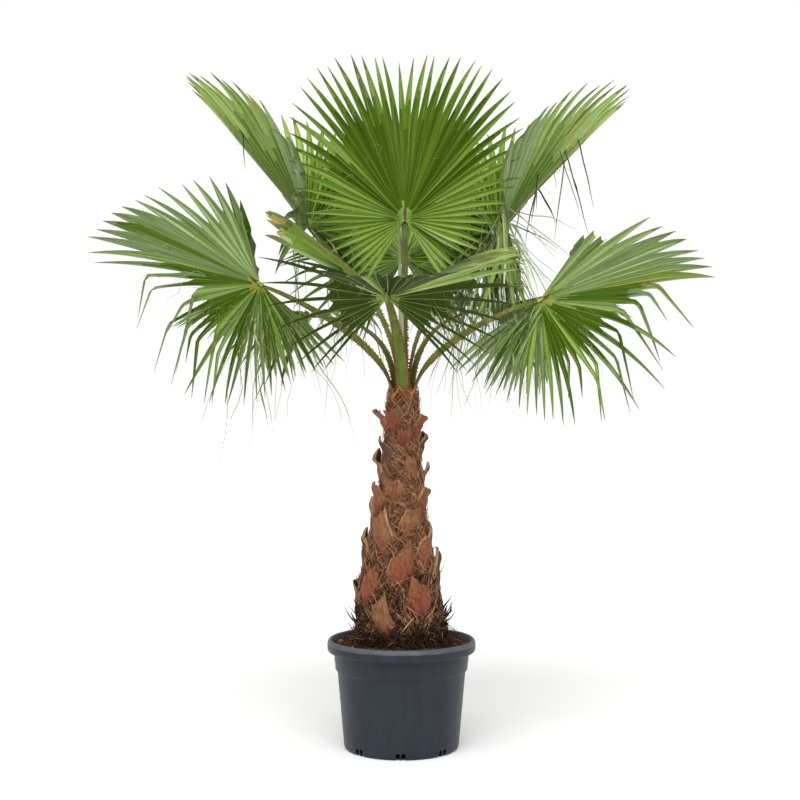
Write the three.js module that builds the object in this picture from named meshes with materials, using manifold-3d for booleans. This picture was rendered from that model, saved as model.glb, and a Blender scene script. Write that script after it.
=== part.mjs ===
// A Mexican fan palm (Washingtonia robusta) in a 50-litre nursery pot.
// Millimetres, +Z up. The pot stands on z = 0 with its axis on Z, and the palm's front faces -Y.
// The pot, the soil, the trunk with its leaf bases, the spear, and each frond's petiole and fan
// are separate solids. Pieces that touch in life are kept CLEAR apart.
import * as THREE from 'three';
import Module from 'manifold-3d';
import { mergeVertices } from 'three/addons/utils/BufferGeometryUtils.js';

const wasm = await Module();
wasm.setup();

// ---------------------------------------------------------------- driving dimensions
const CLEAR = 0.3; // gap between neighbours
const ROUND_SIDES = 36; // facets round the pot and the soil

const POT = {
  height: 366,
  rimRadius: 250,
  rimDrop: 40, // height of the rolled rim
  mouthRadius: 237,
  collarTopRadius: 227,
  collarFootRadius: 223,
  collarFoot: 264, // height at which the collar steps in
  bodyTopRadius: 216,
  footRadius: 194,
  cornerRadius: 12,
  wall: 4,
  slotPairs: 8,
  slotWidth: 13,
  slotRib: 5, // plastic left between the two slots of a pair
  slotHeight: 22,
};

const SOIL = { level: 348, edgeLevel: 340, flatRadius: 180 };

// Core of the trunk: height, radius, and how far its centre stands off the pot's axis along X.
const TRUNK_CORE = [
  [SOIL.level + CLEAR, 132, 0],
  [400, 136, -2],
  [480, 132, -8],
  [560, 120, -10],
  [640, 104, -10],
  [700, 92, -8],
  [780, 78, -6],
  [860, 66, -3],
  [940, 55, 0],
  [1040, 48, 2],
  [1120, 46, 4],
  [1188, 50, 6],
];
const TRUNK_SIDES = 18;
const TRUNK_TOP = TRUNK_CORE.at(-1)[0];
const TRUNK_TOP_X = TRUNK_CORE.at(-1)[2];

// Boots: the cut leaf bases that clothe the trunk, on a spiral of the golden angle.
// The last few stand in a ring under the crown and flare out.
const BOOTS = { count: 36, inRing: 5, lowest: 352, highest: 1035, goldenAngle: 137.5, firstAngle: 250 };

// A fan's leaflets, fewer and wider than life.
const LEAFLETS = 22;
const HALF_SPREAD = 148; // degrees each side of the costa
const WEB_THICKNESS = 6.5;
const LEAFLET_THICKNESS = 5;
const TIP_THICKNESS = 2;
const PLEAT = 0.11; // depth of the pleats, as a share of the leaflet's half width
const LEAFLET_ANGLE = (2 * HALF_SPREAD * Math.PI) / 180 / LEAFLETS;
const WEB_MIDDLE = 0.5; // where the web's sheet takes its inner row of points
const COSTA = { back: 30, reach: 95, rootRadius: 8, tipRadius: 3 };
const FREE_WIDTH = 0.6; // a free leaflet's width half way to its tip, against the web's edge
const EXTENTS = [1, 0.85, 0.7]; // lengths that a leaflet may take to stay clear
const LINE_STEPS = 20;
const KINK_DROOP = 2.4;
const DOWN = new THREE.Vector3(0, 0, -1);

// Each half of a fan: fold = how far it is raised out of the flat (degrees), out = the same for
// the leaflets that point back past the hub, from the angle `turn` on, joined = the share of a
// leaflet that is joined to its neighbours, web and tip = droop of the joined and of the free
// part, cut = length against the other half, kink = [from, to] degrees of leaflets that break
// over and hang, from the share kinkAt of the fan's radius. kept = [from, to] degrees that still
// carry leaflets. twist = how far the petiole is turned about its own line half way (degrees).
const JOINED = 0.58;
const HALF = { fold: 10, out: -40, turn: 75, joined: JOINED, web: 0.1, tip: 0.15, cut: 1, kink: [0, 0] };
const FROND = {
  roll: 0, mid: 10, short: 0.3, droop: 0.05, kinkAt: 0.4, foot: 38, up: 0.5, width: 18,
  twist: 0, kept: [-HALF_SPREAD, HALF_SPREAD],
};

// hub = where the petiole meets the fan, azimuth and rise = direction of the costa (degrees),
// foot = how far the petiole's base stands from the trunk's centre, base = [width, thickness]
// of that base.
const FRONDS = [
  {
    name: 'top', hub: [12, 90, 1793], azimuth: 90, rise: 78, radius: 595, short: 0.42, mid: 38,
    droop: 0, foot: 16, footAzimuth: 80, up: 0.4, base: [22, 12], width: 22,
    left: { fold: 38, out: 38, web: 0, tip: 0.1 },
    right: { fold: 38, out: 38, web: 0, tip: 0.1 },
  },
  {
    name: 'upper_left', hub: [-324, 170, 1779], azimuth: 165, rise: 51, radius: 670, short: 0.35,
    roll: -5, mid: 20, foot: 16, footAzimuth: 160, base: [17, 12], width: 24, twist: -50,
    kept: [-HALF_SPREAD, 112],
    left: { fold: 32, out: -20, web: 0.15, tip: 0.4 },
    right: { fold: 34, out: -10, web: 0.1, tip: 0.3, cut: 0.85 },
  },
  {
    name: 'upper_right', hub: [340, 150, 1759], azimuth: 15, rise: 47, radius: 660, short: 0.35,
    roll: 5, mid: 20, foot: 16, footAzimuth: 0, base: [17, 12], width: 24, twist: 50,
    left: { fold: 36, out: -10, web: 0.1, tip: 0.3, cut: 0.85 },
    right: { fold: 36, out: -20, web: 0.15, tip: 0.4 },
  },
  {
    name: 'left', hub: [-468, -100, 1554], azimuth: 180, rise: 19, radius: 590, roll: -35, mid: 0,
    footAzimuth: 192, up: 0.3, base: [34, 14], twist: -50,
    left: {
      fold: -48, out: -55, turn: 55, joined: 0.4, web: 0.2, tip: 0.5, cut: 0.86, kink: [8, 80],
    },
    right: { fold: 10, out: -75, turn: 55, web: 0, tip: 0.05 },
  },
  {
    name: 'right', hub: [458, -100, 1501], azimuth: 0, rise: 12, radius: 595, roll: 35, mid: 0,
    footAzimuth: -14, up: 0.3, base: [34, 14], twist: 50,
    left: { fold: 8, out: -75, turn: 46, web: 0.02, tip: 0.05 },
    right: {
      fold: -48, out: -55, turn: 55, joined: 0.42, web: 0.2, tip: 0.5, cut: 0.86, kink: [8, 80],
    },
  },
  {
    name: 'front', hub: [-44, -230, 1498], azimuth: -92, rise: 5, radius: 530, mid: 0, droop: 0.02,
    footAzimuth: -92, base: [44, 15], width: 26, kept: [-124, 124],
    left: { fold: 18, out: -42, joined: 0.42, web: 0.03, tip: 0.2 },
    right: { fold: 34, out: -42, joined: 0.42, web: 0.03, tip: 0.2 },
  },
  {
    name: 'back_left', hub: [-330, 400, 1480], azimuth: 130, rise: 2, radius: 560,
    footAzimuth: 136, base: [28, 13], kept: [-80, 118],
    left: { joined: 0.5, web: 0.3, tip: 0.6 },
    right: { joined: 0.5, web: 0.3, tip: 0.6 },
  },
  {
    name: 'back_right', hub: [330, 400, 1505], azimuth: 50, rise: 4, radius: 560,
    footAzimuth: 40, base: [28, 13], kept: [-118, 80],
    left: { joined: 0.5, web: 0.3, tip: 0.6 },
    right: { joined: 0.5, web: 0.3, tip: 0.6 },
  },
  {
    name: 'back', hub: [10, 430, 1690], azimuth: 90, rise: 32, radius: 560,
    footAzimuth: 89, base: [28, 13],
    left: { fold: 0, joined: 0.5, web: 0.2, tip: 0.5 },
    right: { fold: 0, joined: 0.5, web: 0.2, tip: 0.5 },
  },
].map((frond, index) => ({
  ...FROND,
  ...frond,
  index,
  left: { ...HALF, ...frond.left },
  right: { ...HALF, ...frond.right },
}));

const PETIOLE = { thickness: 10, steps: 9, sides: 6 };

// The spear: the youngest frond, still folded shut.
const SPEAR = {
  footAzimuth: -90, foot: 13, height: 570, radius: 8.5, lean: -16,
  taper: [[0, 1], [0.6, 0.8], [1, 0]],
};

// ---------------------------------------------------------------- finishes
const finish = (color, roughness, metalness = 0) => ({ color, roughness, metalness });
const FINISH = {
  pot: finish('#454a52', 0.55),
  soil: finish('#33261d', 0.95),
  bark: finish('#7a4a34', 0.85),
  petiole: finish('#7d9a3c', 0.5),
  fan: finish('#5f8f3f', 0.45),
  spear: finish('#b9c490', 0.6),
};

// ---------------------------------------------------------------- small helpers
const radians = THREE.MathUtils.degToRad;
const vector = (x, y, z) => new THREE.Vector3(x, y, z);
const mix = (a, b, t) => a + (b - a) * t;
const smooth = (from, to, x) => THREE.MathUtils.smoothstep(x, from, to);

// The same scattered number between 0 and 1 for the same pair, every time.
function scatter(i, j) {
  const x = Math.sin(i * 127.1 + j * 311.7) * 43758.5453;
  return x - Math.floor(x);
}

// A closed solid from points and triangles, turned right way out.
function solidOf(points, triangles) {
  const vertProperties = new Float32Array(points.flatMap((p) => [p.x, p.y, p.z]));
  let volume = 0;
  for (const [a, b, c] of triangles) {
    volume += points[a].dot(points[b].clone().cross(points[c]));
  }
  const outward = volume > 0 ? triangles : triangles.map(([a, b, c]) => [a, c, b]);
  const triVerts = new Uint32Array(outward.flat());
  return new wasm.Manifold(new wasm.Mesh({ numProp: 3, vertProperties, triVerts }));
}

// A closed solid from a three.js geometry, with its doubled vertices merged.
function solidFrom(geometry) {
  const bare = geometry.clone();
  bare.deleteAttribute('normal');
  bare.deleteAttribute('uv');
  const merged = mergeVertices(bare, 1e-3);
  const place = merged.getAttribute('position');
  const points = [];
  for (let i = 0; i < place.count; i += 1) {
    points.push(vector(place.getX(i), place.getY(i), place.getZ(i)));
  }
  const corners = merged.getIndex().array;
  const triangles = [];
  for (let i = 0; i < corners.length; i += 3) {
    const [a, b, c] = corners.slice(i, i + 3);
    if (a !== b && b !== c && a !== c) {
      triangles.push([a, b, c]);
    }
  }
  return solidOf(points, triangles);
}

// A skin over rings of equal count; a last ring of one point closes to a tip.
function loft(rings) {
  const points = rings.flat();
  const count = rings[0].length;
  const triangles = [];
  for (let ring = 0; ring < rings.length - 1; ring += 1) {
    const here = ring * count;
    const next = here + count;
    const pointed = rings[ring + 1].length === 1;
    for (let i = 0; i < count; i += 1) {
      const j = (i + 1) % count;
      if (pointed) {
        triangles.push([here + i, here + j, next]);
      } else {
        triangles.push([here + i, here + j, next + j], [here + i, next + j, next + i]);
      }
    }
  }
  for (let i = 1; i < count - 1; i += 1) {
    triangles.push([0, i + 1, i]);
    if (rings.at(-1).length > 1) {
      const last = points.length - count;
      triangles.push([last, last + i, last + i + 1]);
    }
  }
  return solidOf(points, triangles);
}

// The outer skin of the largest piece: a sealed hollow is filled and a loose scrap dropped.
function onePiece(solid) {
  return solid.decompose().reduce((a, b) => (b.volume() > a.volume() ? b : a));
}

// A profile of [radius, height] pairs spun round the Z axis.
function spun(profile) {
  const outline = profile.map(([radius, height]) => new THREE.Vector2(radius, height));
  const geometry = new THREE.LatheGeometry(outline, ROUND_SIDES);
  geometry.rotateX(Math.PI / 2);
  return solidFrom(geometry);
}

// An ellipse of `sides` points about `centre`, across the two given half axes.
function ellipse(centre, across, along, sides) {
  return Array.from({ length: sides }, (_, i) => {
    const turn = (2 * Math.PI * i) / sides;
    return centre.clone().addScaledVector(across, Math.cos(turn)).addScaledVector(along, Math.sin(turn));
  });
}

// ---------------------------------------------------------------- pot
// Outside radius of the pot's body at a height below the collar.
function bodyRadius(height) {
  return mix(POT.footRadius, POT.bodyTopRadius, height / POT.collarFoot);
}

// Inside radius of the pot's wall at a height.
function insideRadius(height) {
  if (height < POT.collarFoot + POT.wall) {
    return bodyRadius(height) - POT.wall;
  }
  return POT.collarFootRadius - POT.wall;
}

function potProfile() {
  const corner = POT.cornerRadius;
  const rimFoot = POT.height - POT.rimDrop;
  const profile = [[0, 0]];
  for (const angle of [0, 45, 90]) {
    const turn = radians(angle);
    const x = POT.footRadius - corner + corner * Math.sin(turn);
    profile.push([x, corner - corner * Math.cos(turn)]);
  }
  profile.push(
    [POT.bodyTopRadius, POT.collarFoot - 4],
    [POT.collarFootRadius, POT.collarFoot],
    [POT.collarTopRadius, rimFoot],
    [POT.rimRadius - 6, rimFoot - 2],
    [POT.rimRadius, rimFoot + 12],
    [POT.rimRadius, POT.height - 14],
    [POT.rimRadius - 7, POT.height - 2],
    [POT.rimRadius - 10, POT.height],
    [POT.mouthRadius, POT.height - 1],
    [POT.collarTopRadius - POT.wall, rimFoot],
    [insideRadius(POT.collarFoot + POT.wall), POT.collarFoot + POT.wall],
    [insideRadius(POT.collarFoot), POT.collarFoot],
    [insideRadius(corner), corner],
    [insideRadius(corner) - corner, POT.wall],
    [0, POT.wall],
  );
  return profile;
}

function makePot() {
  let pot = spun(potProfile());
  const offset = (POT.slotWidth + POT.slotRib) / 2;
  for (let pair = 0; pair < POT.slotPairs; pair += 1) {
    const angle = radians(-91 + (360 / POT.slotPairs) * pair);
    for (const side of [-offset, offset]) {
      const slot = new THREE.BoxGeometry(34, POT.slotWidth, 2 * POT.slotHeight);
      slot.translate(POT.footRadius, side, 0);
      slot.rotateZ(angle);
      pot = pot.subtract(solidFrom(slot));
    }
  }
  return pot;
}

// ---------------------------------------------------------------- soil
function makeSoil() {
  const gap = 2 * CLEAR;
  const floor = POT.wall + gap;
  const corner = POT.cornerRadius;
  return spun([
    [0, floor],
    [insideRadius(corner) - corner - gap, floor],
    [insideRadius(corner) - gap, corner + gap],
    [insideRadius(POT.collarFoot) - gap, POT.collarFoot],
    [insideRadius(POT.collarFoot + POT.wall) - gap, POT.collarFoot + POT.wall + gap],
    [POT.collarTopRadius - POT.wall - gap, POT.height - POT.rimDrop],
    [POT.collarTopRadius - POT.wall + 1, SOIL.edgeLevel],
    [SOIL.flatRadius, SOIL.level],
    [0, SOIL.level],
  ]);
}

// ---------------------------------------------------------------- trunk
// The core's radius and the X of its centre at a height.
function core(height) {
  const above = TRUNK_CORE.findIndex((station) => station[0] >= height);
  const last = above < 0 ? TRUNK_CORE.length - 1 : Math.max(above, 1);
  const [lowHeight, lowRadius, lowX] = TRUNK_CORE[last - 1];
  const [highHeight, highRadius, highX] = TRUNK_CORE[last];
  const t = (height - lowHeight) / (highHeight - lowHeight);
  return { radius: mix(lowRadius, highRadius, t), x: mix(lowX, highX, t) };
}

// The point `out` beyond the core's surface, at an angle round the trunk.
function onTrunk(angle, height, out) {
  const { radius, x } = core(height);
  return vector(x + (radius + out) * Math.cos(angle), (radius + out) * Math.sin(angle), height);
}

// One boot: a shield that is sunk in the trunk at its foot and stands free at its cut tip.
function boot(index) {
  const inRing = index >= BOOTS.count - BOOTS.inRing;
  const foot = mix(BOOTS.lowest, BOOTS.highest, Math.min(index / (BOOTS.count - BOOTS.inRing), 1));
  const angle = radians(BOOTS.firstAngle + BOOTS.goldenAngle * index);
  const { radius } = core(foot + 40);
  const length = (82 + 0.58 * radius) * mix(0.9, 1.15, scatter(index, 1));
  const halfWidth = (22 + 0.3 * radius) * mix(0.88, 1.12, scatter(index, 2));
  const flare = mix(14, 26, scatter(index, 3)) + (inRing ? 24 : 0);
  const stations = [
    { t: 0, width: 0.72, out: -7, thick: 6 },
    { t: 0.3, width: 1, out: 1, thick: 13 },
    { t: 0.65, width: 0.72, out: 4 + 0.15 * flare, thick: 12 },
    { t: 1, width: 0.36, out: flare - 8, thick: 8 },
  ];
  return loft(stations.map(({ t, width, out, thick }) => {
    const height = foot + length * t;
    const reach = (halfWidth * width) / (core(height).radius + 10);
    const free = t === 1 ? out - 1 : -9;
    return [
      onTrunk(angle - reach, height, out),
      onTrunk(angle - 0.45 * reach, height, out + thick),
      onTrunk(angle + 0.45 * reach, height, out + thick),
      onTrunk(angle + reach, height, out),
      onTrunk(angle, height, free),
    ];
  }));
}

function makeTrunk() {
  const rings = TRUNK_CORE.map(([height, radius, x]) => {
    return ellipse(vector(x, 0, height), vector(radius, 0, 0), vector(0, radius, 0), TRUNK_SIDES);
  });
  let trunk = loft(rings);
  for (let index = 0; index < BOOTS.count; index += 1) {
    trunk = trunk.add(boot(index));
  }
  return onePiece(trunk);
}

// ---------------------------------------------------------------- fans
// The costa's direction, the fan's own left, and the normal of its upper face.
function fanAxes({ azimuth, rise, roll }) {
  const [a, e, r] = [azimuth, rise, roll].map(radians);
  const costa = vector(Math.cos(e) * Math.cos(a), Math.cos(e) * Math.sin(a), Math.sin(e));
  const level = vector(-Math.sin(a), Math.cos(a), 0);
  const upright = costa.clone().cross(level);
  const left = level.clone().multiplyScalar(Math.cos(r)).addScaledVector(upright, Math.sin(r));
  const face = upright.clone().multiplyScalar(Math.cos(r)).addScaledVector(level, -Math.sin(r));
  return { costa, left, face };
}

// Which way the leaflet at an angle leaves the hub (left of the costa is positive), and the
// direction across it, towards the fan's left.
function leafletAim(frond, angle) {
  const { costa, left, face } = fanAxes(frond);
  const sign = angle < 0 ? -1 : 1;
  const half = angle < 0 ? frond.right : frond.left;
  const size = Math.abs(angle);
  const inner = mix(frond.mid, half.fold, smooth(5, 60, size));
  const raise = radians(mix(inner, half.out, smooth(half.turn, half.turn + 50, size)));
  const side = left.clone().multiplyScalar(sign * Math.cos(raise)).addScaledVector(face, Math.sin(raise));
  const turn = radians(size);
  const ahead = costa.clone().multiplyScalar(Math.cos(turn)).addScaledVector(side, Math.sin(turn));
  const aside = side.multiplyScalar(sign * Math.cos(turn)).addScaledVector(costa, -sign * Math.sin(turn));
  return { ahead, aside };
}

// Full length of the leaflet at an angle: shorter towards the sides.
function leafletLength(frond, angle) {
  const half = angle < 0 ? frond.right : frond.left;
  const size = Math.abs(angle);
  return frond.radius * mix(1, half.cut, smooth(0, 30, size)) * (1 - frond.short * smooth(30, 140, size));
}

// The share of the leaflet at an angle that is joined to its neighbours.
function joinedShare(frond, angle) {
  const half = angle < 0 ? frond.right : frond.left;
  return mix(JOINED, half.joined, smooth(0, 30, Math.abs(angle)));
}

// The line that a leaflet's rib follows out from the hub, bent down by its own weight.
// A seed scatters how far the free part droops.
function leafletLine(frond, angle, seed = -1) {
  const { ahead } = leafletAim(frond, angle);
  const reach = leafletLength(frond, angle);
  const half = angle < 0 ? frond.right : frond.left;
  const size = Math.abs(angle);
  const aside = smooth(5, 60, size);
  const web = mix(frond.droop, half.web, aside);
  const loose = seed < 0 ? 1 : mix(0.6, 1.4, scatter(seed, frond.index));
  const tip = mix(0.15, half.tip, aside) * loose;
  const kinked = size > half.kink[0] && size < half.kink[1];
  const joined = joinedShare(frond, angle);
  const points = [vector(...frond.hub)];
  const step = reach / LINE_STEPS;
  for (let i = 0; i < LINE_STEPS; i += 1) {
    const along = (i + 0.5) * step;
    const free = Math.max(along / reach - joined, 0) / (1 - joined);
    let droop = web * (along / frond.radius) ** 1.5 + tip * free;
    if (kinked) {
      droop += KINK_DROOP * smooth(0, 0.15, along / frond.radius - frond.kinkAt);
    }
    const direction = ahead.clone().addScaledVector(DOWN, droop).normalize();
    points.push(points.at(-1).clone().addScaledVector(direction, step));
  }
  return points;
}

// The place on a leaflet's line at a share of its length, the direction across it there, and
// the normal of its upper side.
function station(frond, angle, share, seed) {
  const line = leafletLine(frond, angle, seed);
  const step = Math.min(Math.floor(share * LINE_STEPS), LINE_STEPS - 1);
  const point = line[step].clone().lerp(line[step + 1], share * LINE_STEPS - step);
  const forward = line[step + 1].clone().sub(line[step]).normalize();
  const { aside } = leafletAim(frond, angle);
  aside.addScaledVector(forward, -aside.dot(forward)).normalize();
  return { point, aside, up: forward.clone().cross(aside) };
}

// Half the width of a leaflet at a share of its length, while it is joined to its neighbours.
function joinedHalfWidth(frond, angle, share) {
  return share * leafletLength(frond, angle) * Math.tan(LEAFLET_ANGLE / 2);
}

// The angle of a line of the fan: the joins between leaflets are even, the ribs odd.
function edgeAngle(edge) {
  return -HALF_SPREAD + (edge * HALF_SPREAD) / LEAFLETS;
}

// The leaflets that a fan still carries.
function keptLeaflets({ kept: [from, to] }) {
  return Array.from({ length: LEAFLETS }, (_, index) => index).filter((index) => {
    const angle = edgeAngle(2 * index + 1);
    return angle > from && angle < to;
  });
}

// A point on the middle of the pleated web, at a share of the way from the hub to its rim:
// ribs lie low, the joins between leaflets high.
function webPoint(frond, edge, shareOfWeb) {
  const angle = edgeAngle(edge);
  const share = shareOfWeb * joinedShare(frond, angle);
  const { point, up } = station(frond, angle, share);
  const rise = PLEAT * joinedHalfWidth(frond, angle, share) * (edge % 2 === 0 ? 1 : -1);
  return { point: point.addScaledVector(up, rise), up };
}

// The free part of a leaflet past the web: both edges and the keel half way, then the tip.
function freePoints(frond, index, extent) {
  const angle = edgeAngle(2 * index + 1);
  const joined = joinedShare(frond, angle);
  const half = station(frond, angle, mix(joined, extent, 0.5), index);
  const halfWidth = FREE_WIDTH * joinedHalfWidth(frond, angle, joined);
  const high = half.point.clone().addScaledVector(half.up, 2 * PLEAT * halfWidth);
  const tip = station(frond, angle, extent, index);
  return [
    { point: high.clone().addScaledVector(half.aside, -halfWidth), up: half.up, thick: LEAFLET_THICKNESS },
    { point: half.point, up: half.up, thick: LEAFLET_THICKNESS },
    { point: high.addScaledVector(half.aside, halfWidth), up: half.up, thick: LEAFLET_THICKNESS },
    { point: tip.point, up: tip.up, thick: TIP_THICKNESS },
  ];
}

// A fan as one pleated sheet: the web, and the free parts of the leaflets whose length is given
// in `extents`.
function fanSheet(frond, extents) {
  const { face } = fanAxes(frond);
  const middle = [{ point: vector(...frond.hub), up: face, thick: WEB_THICKNESS }];
  const leaflets = keptLeaflets(frond);
  const row = 2 * leaflets.length + 1;
  for (const share of [WEB_MIDDLE, 1]) {
    for (let i = 0; i < row; i += 1) {
      middle.push({ ...webPoint(frond, 2 * leaflets[0] + i, share), thick: WEB_THICKNESS });
    }
  }
  const faces = [];
  for (let i = 1; i < row; i += 1) {
    const outer = i + row;
    faces.push([0, i, i + 1], [i, outer, outer + 1], [i, outer + 1, i + 1]);
  }
  const rim = [0, 1, 1 + row];
  leaflets.forEach((index, place) => {
    const right = 1 + row + 2 * place;
    const [rib, left] = [right + 1, right + 2];
    if (extents[index]) {
      const freeRight = middle.push(...freePoints(frond, index, extents[index])) - 4;
      const [keel, freeLeft, tip] = [freeRight + 1, freeRight + 2, freeRight + 3];
      faces.push([right, freeRight, keel], [right, keel, rib], [rib, keel, freeLeft], [rib, freeLeft, left]);
      faces.push([freeRight, tip, keel], [keel, tip, freeLeft]);
      rim.push(freeRight, tip, freeLeft, left);
    } else {
      rim.push(rib, left);
    }
  });
  rim.push(row);
  const shift = (side) => middle.map(({ point, up, thick }) => {
    return point.clone().addScaledVector(up, (side * thick) / 2);
  });
  const under = middle.length;
  const triangles = faces.flatMap(([a, b, c]) => [[a, b, c], [under + a, under + c, under + b]]);
  rim.forEach((a, i) => {
    const b = rim[(i + 1) % rim.length];
    triangles.push([a, under + a, under + b], [a, under + b, b]);
  });
  return solidOf([...shift(1), ...shift(-1)], triangles);
}

// The stiff costa that runs on from the petiole under the web.
function costaSolid(frond) {
  const { costa, left, face } = fanAxes(frond);
  const stations = [
    [-COSTA.back, COSTA.rootRadius],
    [0, COSTA.rootRadius],
    [COSTA.reach, COSTA.tipRadius],
  ];
  return loft(stations.map(([along, radius]) => {
    const centre = vector(...frond.hub).addScaledVector(costa, along).addScaledVector(face, -radius * 0.6);
    return ellipse(centre, left.clone().multiplyScalar(radius), face.clone().multiplyScalar(radius), 6);
  }));
}

// The free part of one leaflet as a solid of its own: a keeled blade that starts inside the web.
function leafletSolid(frond, index, extent) {
  const [rightJoin, rib, leftJoin] = [0, 1, 2].map((step) => {
    const edge = 2 * index + step;
    return webPoint(frond, edge, WEB_MIDDLE).point.lerp(webPoint(frond, edge, 1).point, 0.85);
  });
  const [right, keel, left, tip] = freePoints(frond, index, extent);
  const ring = (toRight, centre, toLeft, up, thick) => [
    toRight,
    centre.clone().addScaledVector(up, thick / 2),
    toLeft,
    centre.clone().addScaledVector(up, -thick / 2),
  ];
  const { up } = webPoint(frond, 2 * index + 1, 1);
  const sunk = [rib.clone().lerp(rightJoin, 0.82), rib, rib.clone().lerp(leftJoin, 0.82)];
  return loft([
    ring(...sunk, up, LEAFLET_THICKNESS / 2),
    ring(right.point, keel.point, left.point, keel.up, LEAFLET_THICKNESS),
    [tip.point],
  ]);
}

// Whether a leaflet breaks over and hangs.
function isKinked(frond, index) {
  const angle = edgeAngle(2 * index + 1);
  const [from, to] = (angle < 0 ? frond.right : frond.left).kink;
  return Math.abs(angle) > from && Math.abs(angle) < to;
}

// ---------------------------------------------------------------- petioles and spear
// The petiole rises from the trunk's top, arches out and runs into the costa.
function petioleSolid(frond) {
  const { costa, left, face } = fanAxes(frond);
  const foot = radians(frond.footAzimuth);
  const out = vector(Math.cos(foot), Math.sin(foot), 0);
  const root = vector(TRUNK_TOP_X, 0, TRUNK_TOP + CLEAR).addScaledVector(out, frond.foot);
  const end = vector(...frond.hub).addScaledVector(costa, -COSTA.back - CLEAR);
  end.addScaledVector(face, -COSTA.rootRadius * 0.6);
  const span = root.distanceTo(end);
  const rising = root.clone().addScaledVector(vector(0, 0, 1), frond.up * span);
  const arriving = end.clone().addScaledVector(costa, -0.16 * span);
  const line = new THREE.CubicBezierCurve3(root, rising, arriving, end);
  const rootAcross = vector(-out.y, out.x, 0);
  if (rootAcross.dot(left) < 0) {
    rootAcross.negate();
  }
  const [baseWidth, baseThickness] = frond.base;
  const rings = [];
  for (let i = 0; i <= PETIOLE.steps; i += 1) {
    const t = i / PETIOLE.steps;
    const ahead = line.getTangent(t);
    const across = rootAcross.clone().lerp(left, t);
    across.addScaledVector(ahead, -across.dot(ahead)).normalize();
    across.applyAxisAngle(ahead, radians(frond.twist) * Math.sin(Math.PI * t));
    const through = ahead.clone().cross(across);
    const width = mix(baseWidth, frond.width, smooth(0, 0.8, t));
    const thickness = mix(baseThickness, PETIOLE.thickness, t);
    across.multiplyScalar(width / 2);
    through.multiplyScalar(thickness / 2);
    rings.push(ellipse(line.getPoint(t), across, through, PETIOLE.sides));
  }
  return loft(rings);
}

function spearSolid() {
  const foot = radians(SPEAR.footAzimuth);
  const rings = SPEAR.taper.map(([share, size]) => {
    const centre = vector(
      TRUNK_TOP_X + SPEAR.foot * Math.cos(foot) + SPEAR.lean * share,
      SPEAR.foot * Math.sin(foot),
      TRUNK_TOP + CLEAR + SPEAR.height * share,
    );
    const radius = SPEAR.radius * size;
    return size === 0 ? [centre] : ellipse(centre, vector(radius, 0, 0), vector(0, radius, 0), 6);
  });
  return loft(rings);
}

// ---------------------------------------------------------------- assembly
function boxesMeet(a, b) {
  return [0, 1, 2].every((axis) => a.min[axis] < b.max[axis] + CLEAR && b.min[axis] < a.max[axis] + CLEAR);
}

function isClear(solid, others) {
  const box = solid.boundingBox();
  return others.every((other) => {
    return !boxesMeet(box, other.boundingBox()) || solid.minGap(other, 2 * CLEAR) > CLEAR;
  });
}

const palm = new THREE.Group();

function show(name, solid, look) {
  const { vertProperties, triVerts } = solid.getMesh();
  const geometry = new THREE.BufferGeometry();
  geometry.setAttribute('position', new THREE.BufferAttribute(vertProperties, 3));
  geometry.setIndex(new THREE.BufferAttribute(triVerts, 1));
  geometry.computeVertexNormals();
  const mesh = new THREE.Mesh(geometry, new THREE.MeshStandardMaterial(look));
  mesh.name = name;
  palm.add(mesh);
}

const trunk = makeTrunk();
const spear = spearSolid();
show('pot', makePot(), FINISH.pot);
show('soil', makeSoil(), FINISH.soil);
show('trunk', trunk, FINISH.bark);
show('spear', spear, FINISH.spear);

const petioles = FRONDS.map(petioleSolid);
const webs = FRONDS.map((frond) => fanSheet(frond, []).add(costaSolid(frond)));
const fans = [];
FRONDS.forEach((frond, k) => {
  // A free leaflet is shortened, or left out, where it would touch another piece.
  const others = [trunk, spear, ...petioles, ...webs.filter((_, other) => other !== k), ...fans];
  const leaflets = keptLeaflets(frond);
  const extents = [];
  for (const index of leaflets) {
    extents[index] = EXTENTS.find((extent) => isClear(leafletSolid(frond, index, extent), others));
  }
  const inSheet = extents.map((extent, index) => (isKinked(frond, index) ? undefined : extent));
  let fan = fanSheet(frond, inSheet).add(costaSolid(frond));
  // Hanging leaflets cross one another, so they are fused on one by one.
  for (const index of leaflets.filter((leaflet) => extents[leaflet] && isKinked(frond, leaflet))) {
    fan = fan.add(leafletSolid(frond, index, extents[index]));
  }
  fans.push(onePiece(fan));
  show(`fan_${frond.name}`, fans[k], FINISH.fan);
  show(`petiole_${frond.name}`, petioles[k], FINISH.petiole);
});

export default palm;
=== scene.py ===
# %% [markdown]
# # A Mexican fan palm in a nursery pot
#
# A young *Washingtonia robusta* stands in a 50-litre plastic pot. From the ground up it is a
# moulded pot, a bed of bark compost, a trunk clothed in the cut bases of old leaves with a felt
# of fibre between them, a bundle of toothed stalks, and nine pleated fans.
#
# The CAD frame says where each of these is. Here every part is modelled again with the detail
# that the eye expects, inside the space that the frame gives it.

# %% Load the frame
import math

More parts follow.
